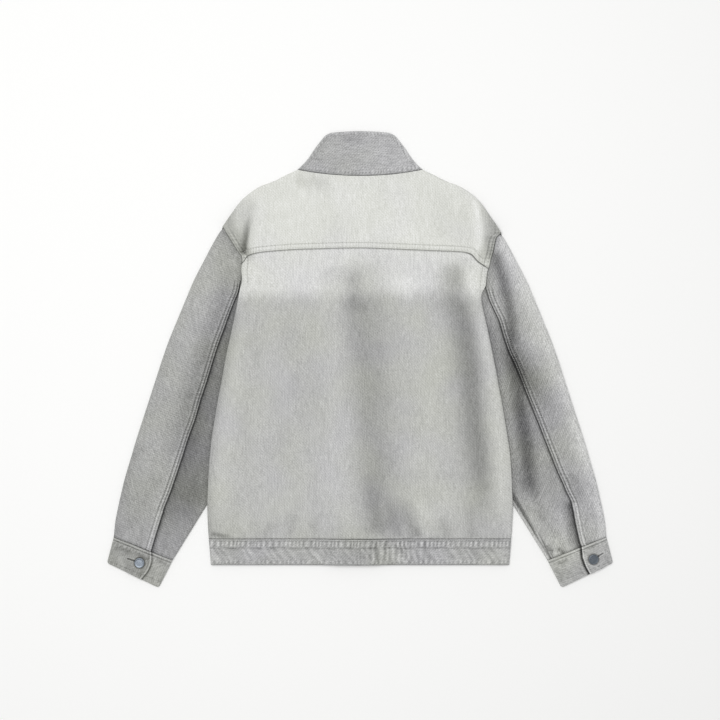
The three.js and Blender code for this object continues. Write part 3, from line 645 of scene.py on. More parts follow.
# Columns that cross a piece: where they lie in plan, and how far they have turned over at a fold
def patch(start, end, left, right):
    def at(u, v):
        a, b, c, d = start(u), end(u), left(v), right(v)
        a0, a1, b0, b1 = start(0), start(1), end(0), end(1)
        return tuple(
            a[k] * (1 - v) + b[k] * v + c[k] * (1 - u) + d[k] * u
            - a0[k] * (1 - u) * (1 - v) - a1[k] * u * (1 - v) - b0[k] * (1 - u) * v - b1[k] * u * v
            for k in (0, 1)
        )

    return at


def flat(plan, places, side, lift=None):  # side is 1 on the upper layer and -1 on the lower one
    return [{"plan": plan, "u": u, "side": side, "turn": side, "lift": lift} for u in places]


def turned(plan, edge, reach, start, end, steps=7):  # columns round a fold, from one angle to another
    side = 1 if start + end > 0 else -1
    return [
        {"plan": plan, "u": edge + reach * (1 - math.cos(a)), "side": side, "turn": math.sin(a), "lift": None}
        for a in spread(start, end, max(3, steps // coarse))
    ]


quarter = math.pi / 2


def newPiece(name, bm, material, slot):
    mesh = bpy.data.meshes.new(name)
    bm.to_mesh(mesh)
    bm.free()
    for face in mesh.polygons:
        face.use_smooth = True
    piece = bpy.data.objects.new(name, mesh)
    bpy.context.scene.collection.objects.link(piece)
    mesh.materials.append(material)
    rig.ride(piece, "root")
    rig.slot(piece, slot)
    return piece


def clothPiece(name, grids, where, material, slot, thick, nodes, cut):  # a grid is its columns and its rows
    bm = bmesh.new()
    toneLayer = bm.verts.layers.float.new("tone")
    turnLayer = bm.verts.layers.float.new("turn")
    for columns, rows in grids:
        wide, long = len(columns) - 1, len(rows) - 1
        made = bmesh.ops.create_grid(bm, x_segments=wide, y_segments=long, size=1)["verts"]
        for vert in made:
            column = columns[round((vert.co.x + 1) / 2 * wide)]
            row = rows[round((vert.co.y + 1) / 2 * long)]
            x, y = column["plan"](column["u"], row)
            z, tone = where(x, y, column, row)
            vert.co = Vector((x, y, z)) * mm
            vert[toneLayer] = tone
            vert[turnLayer] = column["turn"]
    if len(grids) > 1:
        bmesh.ops.remove_doubles(bm, verts=bm.verts, dist=weld)
    bm.normal_update()
    facing = sum(f.normal.z * f.calc_area() * sum(v[turnLayer] for v in f.verts) for f in bm.faces)
    if facing < 0:
        bmesh.ops.reverse_faces(bm, faces=bm.faces)
    area = sum(face.calc_area() for face in bm.faces)
    bm.verts.layers.float.remove(turnLayer)
    piece = newPiece(name, bm, material, slot)
    wall = piece.modifiers.new("cloth", "SOLIDIFY")
    wall.thickness = thick * mm
    wall.offset = -1
    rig.replaces(piece, *nodes)
    width, length = cut["flat"]
    full = width * length * mm * mm
    faces = len(piece.data.polygons)
    print(f"{name}: {faces} faces, area {area:.4f} m2, {area / full:.3f} of the cut's rectangle")
    flatSize = (width * mm, length * mm)
    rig.sheet(piece, flat=flatSize, held="laid", rests_on=cut["rests"], area=min(cut["area"], full))
    return piece


def between(lowAt, highAt, foldAt=None, lowTone=None):  # a wrapped piece: its layers meet halfway at a fold
    def where(x, y, column, row):
        low = lowAt(x, y)
        high, tone = highAt(x, y)
        if lowTone and column["side"] < 0:
            tone = lowTone(x, y)
        share = foldAt(x, y) if foldAt else 1
        z = (low + high) / 2 + lerp(column["side"], column["turn"], share) * (high - low) / 2
        if column["lift"]:
            z += column["lift"](column["u"], row, x, y)
        return z, tone

    return where


def floorLevel(x, y):
    return 0.0


# Materials
def colour(hexCode):  # an sRGB hex value as linear colour
    parts = [int(hexCode[i:i + 2], 16) / 255 for i in (1, 3, 5)]
    return [c / 12.92 if c <= 0.04045 else ((c + 0.055) / 1.055) ** 2.4 for c in parts] + [1.0]


def add(tree, kind, settings=None, **links):  # a node with its settings, values and links
    node = tree.nodes.new(kind)
    for key, value in (settings or {}).items():
        setattr(node, key, value)
    for key, value in links.items():
        numbered = key[0] == "i" and key[1:].isdigit()
        socket = node.inputs[int(key[1:]) if numbered else key.replace("_", " ")]
        if isinstance(value, bpy.types.NodeSocket):
            tree.links.new(value, socket)
        else:
            socket.default_value = value
    return node


def blank(name):
    material = bpy.data.materials.new(name)
    material.use_nodes = True
    tree = material.node_tree
    tree.nodes.clear()
    return material, tree


# Washed denim, a cotton twill woven with a dyed warp and a white weft, then stonewashed and
# bleached: matt, with fine diagonal lines and slubs along the warp. The pale crests come from the tone
# that each piece carries, partly from wear and partly as painted highlight.
denim = {
    "places": [0.0, 0.3, 0.5, 0.62, 0.74, 0.87, 1.0],  # tones that the colours below stand for
    "cool": ["#000000", "#4c4c4e", "#7f7f80", "#9e9e9f", "#bcbcbd", "#dedede", "#ffffff"],
    "warm": ["#000000", "#4d4d48", "#80817a", "#9fa09a", "#bdbeb7", "#dedfd9", "#ffffff"],
    "twill": 3.6,  # mm between twill lines; the real 0.9 is too fine to show, so it is drawn coarser
    "speck": 1.7,  # mm across a speck of white weft
    "slub": (1.5, 16),  # mm across and along a slub
    "blotch": 42,  # mm across an uneven patch of wash
    "cast": 90,  # mm across a patch of cooler or warmer grey
    "strength": {"twill": 0.028, "speck": 0.22, "slub": 0.14, "blotch": 0.05},
    "bump": 0.00035,
}


def denimCloth(name, lean, grain, warm):
    material, tree = blank(name)
    place = add(tree, "ShaderNodeTexCoord").outputs["Object"]
    turned = add(tree, "ShaderNodeMapping", Vector=place, Rotation=(0, 0, math.radians(lean))).outputs[0]
    tone = add(tree, "ShaderNodeAttribute", {"attribute_name": "tone"}).outputs["Fac"]
    # a diagonal wave's own scale for that distance between its lines
    lines = 2 * math.pi * 1000 / (10 * math.sqrt(2) * denim["twill"])
    twill = add(
        tree, "ShaderNodeTexWave", {"wave_type": "BANDS", "bands_direction": "DIAGONAL"},
        Vector=turned, Scale=lines, Distortion=1.2, Detail=2.0, Detail_Scale=1.5,
    ).outputs["Fac"]
    noiseKind = "ShaderNodeTexNoise"
    speckScale, blotchScale, castScale = (1000 / denim[key] for key in ("speck", "blotch", "cast"))
    speck = add(tree, noiseKind, Vector=turned, Scale=speckScale, Detail=2.0, Roughness=0.6).outputs["Fac"]
    slubScale = (1000 / denim["slub"][0], 1000 / denim["slub"][1], 1000 / denim["slub"][0])
    stretched = add(tree, "ShaderNodeMapping", Vector=turned, Scale=slubScale).outputs[0]
    slub = add(tree, noiseKind, Vector=stretched, Scale=1.0, Detail=2.0, Roughness=0.55).outputs["Fac"]
    blotch = add(
        tree, noiseKind, Vector=turned, Scale=blotchScale, Detail=4.0, Roughness=0.6,
    ).outputs["Fac"]
    total = tone
    for pattern, key in ((twill, "twill"), (speck, "speck"), (slub, "slub"), (blotch, "blotch")):
        share = denim["strength"][key] * (grain if key != "blotch" else 1)
        scaled = {"operation": "MULTIPLY_ADD"}
        part = add(tree, "ShaderNodeMath", scaled, i0=pattern, i1=share, i2=-share / 2).outputs[0]
        total = add(tree, "ShaderNodeMath", {"operation": "ADD"}, i0=total, i1=part).outputs[0]
    tints = []
    for tint in ("cool", "warm"):
        ramp = add(tree, "ShaderNodeValToRGB", Fac=total)
        stops = ramp.color_ramp.elements
        while len(stops) < len(denim["places"]):
            stops.new(0.5)
        for stop, at, hexCode in zip(stops, denim["places"], denim[tint]):
            stop.position = at
            stop.color = colour(hexCode)
        tints.append(ramp.outputs[0])
    cast = add(tree, noiseKind, Vector=place, Scale=castScale, Detail=1.0).outputs["Fac"]
    clamped = {"operation": "MULTIPLY_ADD", "use_clamp": True}
    share = add(tree, "ShaderNodeMath", clamped, i0=cast, i1=2.0, i2=warm - 1.0).outputs[0]
    base = add(tree, "ShaderNodeMix", {"data_type": "RGBA"}, i0=share, i6=tints[0], i7=tints[1]).outputs[2]
    weave = add(tree, "ShaderNodeMath", {"operation": "ADD"}, i0=twill, i1=speck).outputs[0]
    weave = add(tree, "ShaderNodeMath", {"operation": "ADD"}, i0=weave, i1=slub).outputs[0]
    bump = add(tree, "ShaderNodeBump", Height=weave, Strength=0.55, Distance=denim["bump"]).outputs[0]
    shader = add(
        tree, "ShaderNodeBsdfPrincipled", Base_Color=base, Roughness=0.93, Normal=bump,
        Specular_IOR_Level=0.2, Sheen_Weight=0.12, Sheen_Roughness=0.6,
    )
    add(tree, "ShaderNodeOutputMaterial", Surface=shader.outputs[0])
    return material


# Spun polyester topstitching thread, dyed pale grey: slightly glossy, with a fine twist
def threadMaterial():
    material, tree = blank("topstitchThread")
    place = add(tree, "ShaderNodeTexCoord").outputs["Object"]
    twist = add(tree, "ShaderNodeTexNoise", Vector=place, Scale=1400.0, Detail=1.0).outputs["Fac"]
    ramp = add(tree, "ShaderNodeValToRGB", Fac=twist)
    for stop, at, hexCode in zip(ramp.color_ramp.elements, (0.35, 0.65), ("#b3b4b1", "#d3d4cf")):
        stop.position = at
        stop.color = colour(hexCode)
    shader = add(
        tree, "ShaderNodeBsdfPrincipled", Base_Color=ramp.outputs[0], Roughness=0.6, Sheen_Weight=0.1,
    )
    add(tree, "ShaderNodeOutputMaterial", Surface=shader.outputs[0])
    return material


# Pressed steel with a slate blue-grey plating, tumbled: satin, lighter where it has rubbed
def buttonMaterial():
    material, tree = blank("slatePlatedSteel")
    place = add(tree, "ShaderNodeTexCoord").outputs["Object"]
    rub = add(tree, "ShaderNodeTexNoise", Vector=place, Scale=900.0, Detail=3.0).outputs["Fac"]
    ramp = add(tree, "ShaderNodeValToRGB", Fac=rub)
    for stop, at, hexCode in zip(ramp.color_ramp.elements, (0.3, 0.75), ("#5d656e", "#959ca4")):
        stop.position = at
        stop.color = colour(hexCode)
    satin = add(tree, "ShaderNodeMath", {"operation": "MULTIPLY_ADD"}, i0=rub, i1=0.3, i2=0.25).outputs[0]
    bump = add(tree, "ShaderNodeBump", Height=rub, Strength=0.2, Distance=0.0002).outputs[0]
    shader = add(
        tree, "ShaderNodeBsdfPrincipled", Base_Color=ramp.outputs[0], Metallic=0.85, Roughness=satin,
        Normal=bump,
    )
    add(tree, "ShaderNodeOutputMaterial", Surface=shader.outputs[0])
    return material


bodyDenim = denimCloth("washedDenimBody", 0, 1.35, 0.5)
yokeDenim = denimCloth("washedDenimYoke", 0, 1.1, 0.9)
sleeveDenim = {
    "left": denimCloth("washedDenimSleeveLeft", -19, 1.9, 0.4),
    "right": denimCloth("washedDenimSleeveRight", 19, 2.1, 0.3),
}
trimDenim = denimCloth("washedDenimTrim", 90, 1.8, 0.3)
collarDenim = denimCloth("washedDenimCollar", 90, 2.0, 0.1)
cuffDenim = {
    "left": denimCloth("washedDenimCuffLeft", 70, 1.6, 0.8),
    "right": denimCloth("washedDenimCuffRight", -70, 1.8, 0.5),
}
thread = threadMaterial()
slate = buttonMaterial()
print("materials made")

# Back panel
backPanel = {  # fine: how far the finer columns and rows reach in from the sides and the seams
    "step": 3.0 * coarse, "seamStep": 1.3 * coarse, "fine": (10, 14), "across": 470, "down": 480,
    "underYoke": 3,
    "cut": {
        "flat": (518, 500), "area": 0.234,
        "rests": ["front_left", "front_right", "sleeve_left_under", "sleeve_right_under"],
    },
}
seamStart, seamStop = yokeSeam[0], yokeSeam[-1]


def across(start, end, step, fineStep, fine):  # places from edge to edge, finer beside both of them
    length = abs(end - start)
    near = spread(0, fine / length, round(fine / fineStep))
    middle = spread(fine / length, 1 - fine / length, round((length - 2 * fine) / step))
    return joined(near, middle, [1 - t for t in reversed(near)])


def bodySide(side, low, high, past=0):  # up an edge of the body
    return lambda v: (sides[side]["sign"] * edgeHalf(side, lerp(low, high, v)), lerp(low, high + past, v))


def seamX(u):
    return lerp(seamStart[0], seamStop[0], u)


def makeBackPanel():
    low, under = body["band"], backPanel["underYoke"]
    step, seamStep = backPanel["step"], backPanel["seamStep"]
    sideFine, seamFine = backPanel["fine"]
    plan = patch(
        lambda u: (lerp(-edgeHalf("left", low), edgeHalf("right", low), u), low),
        lambda u: (seamX(u), yokeSeamY(seamX(u)) + under),
        bodySide("left", low, seamStart[1], under),
        bodySide("right", low, seamStop[1], under),
    )
    reach = cloth["foldReach"] / backPanel["across"]
    places = across(0, backPanel["across"] - 2 * cloth["foldReach"], step, seamStep, sideFine)
    wide = [reach + t * (1 - 2 * reach) for t in places]
    columns = joined(
        turned(plan, 0, reach, 0, quarter),
        flat(plan, wide, 1),
        turned(plan, 1, -reach, quarter, 0),
    )
    rows = across(0, backPanel["down"], step, seamStep, seamFine)
    # below the armhole the edge is a fold, beside it a seam
    shape = between(backLow, panelTop, lambda x, y: 1 - smooth(y, 92, 128))
    clothPiece(
        "backPanel", [(columns, rows)], shape, bodyDenim, "denim_body", cloth["single"], ["back_panel"],
        backPanel["cut"],
    )


makeBackPanel()

# Yoke
yoke = {  # fine: how far the finer columns and rows reach in from the seam and the sides
    "step": 2.6 * coarse, "seamStep": 0.9 * coarse, "across": 470, "up": 120, "fine": (15, 14),
    "cut": {"flat": (478, 170), "area": 0.0545, "rests": ["front_left", "front_right", "collar"]},
}


def makeYoke():
    def topAt(u):
        x = lerp(sides["left"]["shoulderX"], sides["right"]["shoulderX"], u)
        return (x, neckY(x) if abs(x) < body["neckHalf"] else shoulderY(x))

    upright = patch(
        lambda u: (seamX(u), yokeSeamY(seamX(u))),
        topAt,
        bodySide("left", seamStart[1], topAt(0)[1]),
        bodySide("right", seamStop[1], topAt(1)[1]),
    )
    plan = lambda u, v: upright(v, u)
    tall, (seamFine, sideFine) = yoke["up"], yoke["fine"]
    reach = cloth["foldReach"] / tall
    near = spread(0, seamFine / tall, round(seamFine / yoke["seamStep"]))
    above = spread(seamFine / tall, 1, round((tall - seamFine) / yoke["step"]))
    up = [t * (1 - reach) for t in joined(near, above)]
    columns = joined(flat(plan, up, 1), turned(plan, 1, -reach, quarter, 0, steps=9))
    rows = across(0, yoke["across"], yoke["step"], yoke["seamStep"], sideFine)

    def foldAt(x, y):  # the shoulders are folds, the neck and armholes seams
        toArmhole = edgeHalf(sideOf(x), 220) - abs(x)
        return smooth(abs(x), body["neckHalf"] - 4, body["neckHalf"] + 14) * smooth(toArmhole, 6, 26)

    shape = between(floorLevel, yokeTop, foldAt)
    clothPiece(
        "backYoke", [(columns, rows)], shape, yokeDenim, "denim_yoke", cloth["single"], ["yoke"],
        yoke["cut"],
    )


makeYoke()

# Hem band
band = {
    "step": 1.9 * coarse, "rowStep": 1.6 * coarse, "across": 500, "deep": 44,
    "floorHalf": 260, "floorCount": 60, "press": 15.3, "tone": 0.69,
    "cut": {"flat": (1066, 44.6), "area": 0.0475, "rests": ["front_button_6"]},
}


def bandTop(x, y):
    high, tone = backTop(x, y)
    down = body["band"] - y  # from the seam
    up = y - body["hem"]  # from the lower edge
    ripples = pucker(x + 0.15 * down, 21.0, 7.6)
    lower = pucker(x * 1.03 - 0.2 * up, 22.0, 8.6)
    slanted = pucker(x - 0.7 * down + 5 * rough(x, y, 26, 27.0), 24.0, 17.0)
    # upright creases where the fold down the back ends
    upright = pucker(x + 3 * rough(x, y, 20, 29.0), 28.0, 9.5) * bell(x - 45, 65)
    nearTop = smooth(down, 2.6, 4) * (1 - smooth(down, band["press"] - 5, band["press"]))
    nearHem = smooth(up, 1.5, 3) * (1 - smooth(up, 5, 11))
    inside = smooth(down, band["press"] - 4, band["press"] + 2) * smooth(up, 2, 8)
    press = 0.55 + 0.9 * rough(x, 0, 14, 25.0)
    wander = down - band["press"] - 1.2 * rough(x, 0, 30, 26.0)
    high += cloth["lap"] * 0.6 * (1 - smooth(wander, -1, 3)) - 0.7 * bell(down, 0.8)
    high += 0.55 * ripples * nearTop + 0.42 * lower * nearHem + 0.4 * slanted * inside
    high -= 0.3 * bell(down - 3.0, 0.8) + 0.35 * bell(up - 2.2, 0.8) + 1.1 * (1 - smooth(up, 0, 1.8))
    # The tone follows the ripples as painted light and shade, with painted shadow along the seam, the hem edge and the
    # pressed edge inside, a painted highlight just below the seam, and painted shade in the upright creases.
    tone = tone * 0.35 + 0.13 * ripples * nearTop + 0.11 * lower * nearHem + 0.05 * slanted * inside
    tone -= 0.16 * bell(down - 3.3, 0.9) + 0.17 * max(press, 0) * bell(wander, 1.6)
    tone -= (0.22 + 0.2 * bell(x - 25, 50)) * bell(down, 0.8) + 0.03 * bell(x - 30, 70)
    tone -= 0.05 * bell(up - 2.2, 0.9) + 0.10 * bell(up, 1.0)
    tone += 0.08 * bell(down - 1.6, 0.8) - 0.09 * upright * smooth(down, 4, 7) * smooth(up, 2, 6)
    return high, band["tone"] + 0.035 * rough(x, y * 1.5, 20, 23.0) + tone


def makeBand():
    y = lambda v: lerp(body["band"], body["hem"], v)
    back = lambda u, v: (lerp(-edgeHalf("left", y(v)), edgeHalf("right", y(v)), u), y(v))

    reach = cloth["foldReach"] / band["floorHalf"]

    def floor(side):
        sign = sides[side]["sign"]
        end = body["closure"] - sign * body["lapHalf"]
        plan = lambda u, v: (lerp(sign * edgeHalf(side, y(v)), end, u), y(v))
        lift = lambda u, v, x, y: closureLift(side, x, y)
        return joined(
            turned(plan, 0, reach, 0, -quarter),
            flat(plan, spread(reach, 1, round(band["floorCount"] / coarse)), -1, lift),
        )

    columns = joined(
        floor("left")[::-1],
        turned(back, 0, reach / 2, 0, quarter),
        flat(back, spread(reach / 2, 1 - reach / 2, round(band["across"] / band["step"])), 1),
        turned(back, 1, -reach / 2, quarter, 0),
        floor("right"),
    )
    rows = spread(0, 1, round(band["deep"] / band["rowStep"]))
    clothPiece(
        "hemBand", [(columns, rows)], between(frontLow, bandTop), trimDenim, "denim_trim", cloth["double"],
        ["hem_band"], band["cut"],
    )


makeBand()

# Collar
collar = {
    "top": 384.5, "crown": 2.8, "half": 50, "frontEnd": 330, "part": 3, "step": 1.7 * coarse, "across": 180,
    "tall": 72, "foldShare": {"back": 0.045, "front": 0.08}, "floorCount": 24, "tone": 0.692,
    "cut": {"flat": (452, 76), "area": 0.0277, "rests": []},
}


def collarTop(x, y):
    up = y - neckY(x)
    outer = collarTopEdge(x, y)
    ripples = pucker(x + 0.35 * y, 31.0, 5.8)
    low = pucker(x * 1.04, 32.0, 6.4)
    nearOuter = smooth(outer, 0.6, 2.5) * (1 - smooth(outer, 5, 9))
    nearNeck = smooth(up, 2.6, 4) * (1 - smooth(up, 7, 12))
    roll = smooth(y, 312, 345) * (1 - smooth(y, 350, 384))
    high = level["collar"] + 1.3 * roll + 0.6 * rough(x, y, 45, 33.0)
    high += 0.4 * ripples * nearOuter + 0.4 * low * nearNeck
    high -= 1.0 * (1 - smooth(outer, 0, 1.8)) + 0.8 * bell(up, 0.8)
    high -= 0.35 * bell(outer - 6.0, 0.8) + 0.35 * bell(up - 2.5, 0.8)
    tone = collar["tone"] + 0.0003 * x + 0.022 * rough(x, y, 20, 34.0)
    # the tone follows the ripples as painted light and shade
    tone += 0.08 * ripples * nearOuter + 0.08 * low * nearNeck
    tone -= 0.05 * bell(outer - 6.0, 0.9) + 0.12 * bell(up - 3.1, 0.9) + 0.34 * bell(up, 0.9)
    tone += 0.07 * bell(outer, 2.0) + 0.07 * bell(up - 1.6, 0.8)
    tone -= (0.09 + 0.05 * rough(x, y, 5, 36.0)) * bell(math.hypot((x + 9) / 2.1, y - 374), 7)
    return high, tone


def collarLowTone(x, y):
    up = y - frontTopY(x)
    ripples = 0.07 * pucker(x + 0.35 * y, 37.0, 5.8) * (1 - smooth(collarTopEdge(x, y), 5, 9))
    lines = 0.10 * bell(up - 3.1, 1.2) + 0.05 * bell(collarTopEdge(x, y) - 6, 1.0)
    return collar["tone"] + ripples - lines + 0.02 * rough(x, y, 20, 38.0)


def crownY(share):  # the collar's upper edge, at a share of its half width
    return collar["top"] + collar["crown"] * (1 - share**2)


def collarTopEdge(x, y):  # how far in from the collar's outer edge
    crown = crownY(x / collar["half"]) if abs(x) < collar["half"] else collar["top"]
    side = (onCurve(collarFold, y) - abs(x)) * 0.8
    return max(0.0, min(crown - y, side))


def makeCollar():
    half, neck = collar["half"], body["neckHalf"]

    def fold(sign):
        def at(v):
            y = lerp(collarFold[0][0], collar["top"], v)
            return (sign * onCurve(collarFold, y), y)

        return at

    back = patch(
        lambda u: (lerp(-neck, neck, u), neckY(lerp(-neck, neck, u)) + 0.1),
        lambda u: (lerp(-half, half, u), crownY(2 * u - 1)),
        fold(-1),
        fold(1),
    )

    def front(sign):
        end = body["closure"] + sign * collar["part"]
        neckX = lambda u: lerp(sign * (neck - 0.01), end, u)
        return patch(
            lambda u: (neckX(u), frontTopY(neckX(u)) + 0.3),
            lambda u: (lerp(sign * half, end, u), lerp(collar["top"], collar["frontEnd"], u**1.5)),
            fold(sign),
            lambda v: (end, lerp(frontTopY(end) + 0.3, collar["frontEnd"], v)),
        )

    reach, frontReach = collar["foldShare"]["back"], collar["foldShare"]["front"]
    floor = lambda sign: joined(
        turned(front(sign), 0, frontReach, 0, -quarter),
        flat(front(sign), spread(frontReach, 1, round(collar["floorCount"] / coarse)), -1),
    )
    columns = joined(
        floor(-1)[::-1],
        turned(back, 0, reach, 0, quarter),
        flat(back, spread(reach, 1 - reach, round(collar["across"] / collar["step"])), 1),
        turned(back, 1, -reach, quarter, 0),
        floor(1),
    )
    rows = spread(0, 1, round(collar["tall"] / collar["step"]))
    shape = between(floorLevel, collarTop, None, collarLowTone)
    clothPiece(
        "standCollar", [(columns, rows)], shape, collarDenim, "denim_trim", cloth["double"], ["collar"],
        collar["cut"],
    )


makeCollar()

# Sleeves
sleeve = {
    "step": 2.6 * coarse, "rowStep": 2.8 * coarse, "topSeamStep": 1.0 * coarse, "underSeamStep": 1.2 * coarse,
    "long": 540, "topWide": (14, 66), "underWide": (12, 58), "floorCount": 30, "tuckIn": 6, "ventWide": 9,
    "foldShare": {"top": 0.09, "floor": 0.045, "under": 0.07}, "tone": 0.665,
    "frontSeam": ((257.6, -231.7), (319.8, -331.8)),
}


def cuffPlace(x, y):  # along the cuff seam from the outer fold, and down from it
    ax, ay = cuffCorner["outerTop"]
    bx, by = cuffCorner["innerTop"]
    long = math.hypot(bx - ax, by - ay)
    tx, ty = (bx - ax) / long, (by - ay) / long
    dx, dy = abs(x) - ax, y - ay
    return dx * tx + dy * ty, -dx * ty + dy * tx


def seamOff(side, x, y):  # outwards from the back seam
    slope = (onCurve(backSeam[side], y + 2) - onCurve(backSeam[side], y - 2)) / 4
    return (abs(x) - onCurve(backSeam[side], y)) / math.hypot(1, slope)


def sleeveBase(side, x, y):
    beside = smooth(abs(x) - edgeHalf(side, y), 4, 46)
    toCuff = lerp(1, 0.5, smooth(-y, 230, 320))
    high, tone = foldsAt(sleeveFolds[side], x, y)
    along, down = cuffPlace(x, y)
    gathers = (1 - smooth(-down, 0, 20)) * pucker(along, 41.0, 11.0)
    ripple = 0.35 * rough(x, y, 24, 42.0) + 0.9 * rough(x, y, 70, 43.0)
    free = toCuff * (level["sleeveFree"] - level["sleeveUnder"])
    z = level["sleeveUnder"] + beside * (free + high + ripple)
    toBody = abs(x) - edgeHalf(side, y)
    z += 1.9 * smooth(y, 70, 110) * (1 - smooth(toBody, 2, 18))  # up to the armhole seam
    shade = -0.06 * (1 - smooth(toBody, 0, 14))
    # the tone follows the gathers at the cuff as painted light and shade
    return z + 0.4 * gathers, tone + shade + 0.03 * gathers - 0.12 * bell(down + 0.8, 1.4)


def topSleeveAt(side):
    def at(x, y):
        z, tone = sleeveBase(side, x, y)
        off = seamOff(side, x, y)
        if off < 32 and sides[side]["seamEnd"] - 4 < y < sides[side]["seamTop"] + 6:
            lapHeight, lapTone = lapped(max(off, 0), y * 1.06, {"left": 44.0, "right": 45.0}[side], 1.6)
            start = 1 - smooth(y, sides[side]["seamTop"] - 12, sides[side]["seamTop"] + 5)
            low = smooth(-y, -sides[side]["vent"] - 2, -sides[side]["vent"] + 2)
            bind = low * (1 - smooth(off, sleeve["ventWide"] - 0.8, sleeve["ventWide"] + 0.8))
            z += lapHeight + 0.9 * bind
            tone += lapTone * start * (1 - 0.4 * low) + 0.07 * bind
        return z, atSleeve(side, x, y) + tone

    return at


def underSleeveAt(side):
    def at(x, y):
        z, tone = sleeveBase(side, x, y)
        off = -seamOff(side, x, y)
        z += 0.25 * pucker(y * 1.06, 46.0) * (1 - smooth(off, 1, 14)) - 0.7 * bell(off, 2.4)
        # painted shadow beside the back seam's sewn-down edge, and low down beside the vent's edge
        tone -= (0.07 * bell(off, 5) + 0.20 * bell(off, 1.5)) * (1 - 0.7 * smooth(y, 50, 100))
        tone += {"left": 0, "right": 0.08}[side] * smooth(y, 40, 80)
        low = smooth(-y, -sides[side]["vent"] - 8, -sides[side]["vent"] + 8)
        tone -= {"left": 0.14 * bell(off, 5), "right": 0.30 * bell(off, 10)}[side] * low
        if side == "right":  # the front seam shows beside the inner fold
            away = besideLine(sleeve["frontSeam"], x, y)[2]
            share = smooth(-y, 120, 230)
            z -= 0.7 * bell(away, 1.6) * share
            tone -= share * (0.32 * bell(away, 1.3) + 0.22 * bell(away + 3.8, 1.2))
            tone += share * (0.10 * bell(away + 1.9, 1.0) + 0.06 * bell(away - 4, 2.2))
        return z, atUnderSleeve(side, x, y) + tone

    return at


def sleevePlans(side):
    sign, head, seamTop, seamEnd = (sides[side][k] for k in ("sign", "head", "seamTop", "seamEnd"))
    (ax, ay), (bx, by) = cuffCorner["outerTop"], cuffCorner["innerTop"]
    underarm = body["underarm"][1]
    share = (seamEnd - ay) / (by - ay)

    def along(table, top, end):
        return lambda v: (sign * onCurve(table, lerp(top, end, v)), lerp(top, end, v))

    def armhole(start, end, off, tuck=0):
        def at(u):
            y = lerp(start, end, u)
            half = max(tuckedHalf(side, y), frontArmhole(side, min(y, 0)) + 3) + off
            return (sign * (half - tuck * smooth(u, 0, 0.04) * (1 - smooth(u, 0.4, 0.7))), y)

        return at

    def outer(off):
        def at(v):
            y = lerp(head, ay, v)
            start = edgeHalf(side, head) + off
            return (sign * lerp(start, onCurve(sleeveOuter, y), smooth(v, 0, 0.012)), y)

        return at

    def cuffLine(start, end):
        def at(u):
            t = lerp(start, end, u)
            return (sign * lerp(ax, bx, t), lerp(ay, by, t))

        return at

    def floorTop(u):
        y = lerp(head, underarm, u)
        return (sign * (frontArmhole(side, y) + 1), y)

    tuckIn = sleeve["tuckIn"]
    inner = along(sleeveTucked[side], underarm, by)
    back = along(backSeam[side], seamTop, seamEnd)
    return {
        "top": patch(armhole(head, seamTop, -tuckIn), cuffLine(0, share), outer(-tuckIn), back),
        "under": patch(armhole(seamTop, underarm, 1, tuckIn), cuffLine(share, 1), back, inner),
        "floor": patch(floorTop, cuffLine(0, 1), outer(1), inner),
    }


def sleeveLowTone(x, y):
    streaks = bell(rough(x * 2, y * 0.6, 40, 48.0), 0.2)
    return sleeve["tone"] + 0.02 * rough(x, y, 46, 47.0) - 0.02 * streaks


sleeveCuts = {
    "left": {
        "top": {"flat": (330, 600), "area": 0.123, "rests": []},
        "under": {"flat": (150, 500), "area": 0.0353, "rests": ["sleeve_left_top"]},
    },
    "right": {
        "top": {"flat": (310, 590), "area": 0.112, "rests": []},
        "under": {"flat": (165, 500), "area": 0.0425, "rests": ["sleeve_right_top"]},
    },
}


def makeSleeve(side):
    plans = sleevePlans(side)
    rows = spread(0, 1, round(sleeve["long"] / sleeve["rowStep"]))
    top, floor, under = plans["top"], plans["floor"], plans["under"]
    topReach, floorReach, underReach = (sleeve["foldShare"][k] for k in ("top", "floor", "under"))
    fine, wide = sleeve["topWide"]
    seamShare = fine / (fine + wide)
    columns = joined(
        flat(top, spread(1, 1 - seamShare, round(fine / sleeve["topSeamStep"])), 1),
        flat(top, spread(1 - seamShare, topReach, round(wide / sleeve["step"])), 1),
        turned(top, 0, topReach, quarter, 0, steps=8),
        turned(floor, 0, floorReach, 0, -quarter, steps=5),
        flat(floor, spread(floorReach, 1 - floorReach, round(sleeve["floorCount"] / coarse)), -1),
        turned(floor, 1, -floorReach, -quarter, 0, steps=5),
    )
    shape = between(floorLevel, topSleeveAt(side), None, sleeveLowTone)
    clothPiece(
        f"topSleeve_{side}", [(columns, rows)], shape, sleeveDenim[side], "denim_sleeve", cloth["single"],
        [f"sleeve_{side}_top", f"vent_{side}"], sleeveCuts[side]["top"],
    )
    fine, wide = sleeve["underWide"]
    columns = joined(
        flat(under, spread(0, 0.16, round(fine / sleeve["underSeamStep"])), 1),
        flat(under, spread(0.16, 1 - underReach, round(wide / sleeve["step"])), 1),
        turned(under, 1, -underReach, quarter, 0, steps=8),
    )
    shape = between(floorLevel, underSleeveAt(side))
    clothPiece(
        f"underSleeve_{side}", [(columns, rows)], shape, sleeveDenim[side], "denim_sleeve", cloth["single"],
        [f"sleeve_{side}_under"], sleeveCuts[side]["under"],
    )


for side in sides:
    makeSleeve(side)

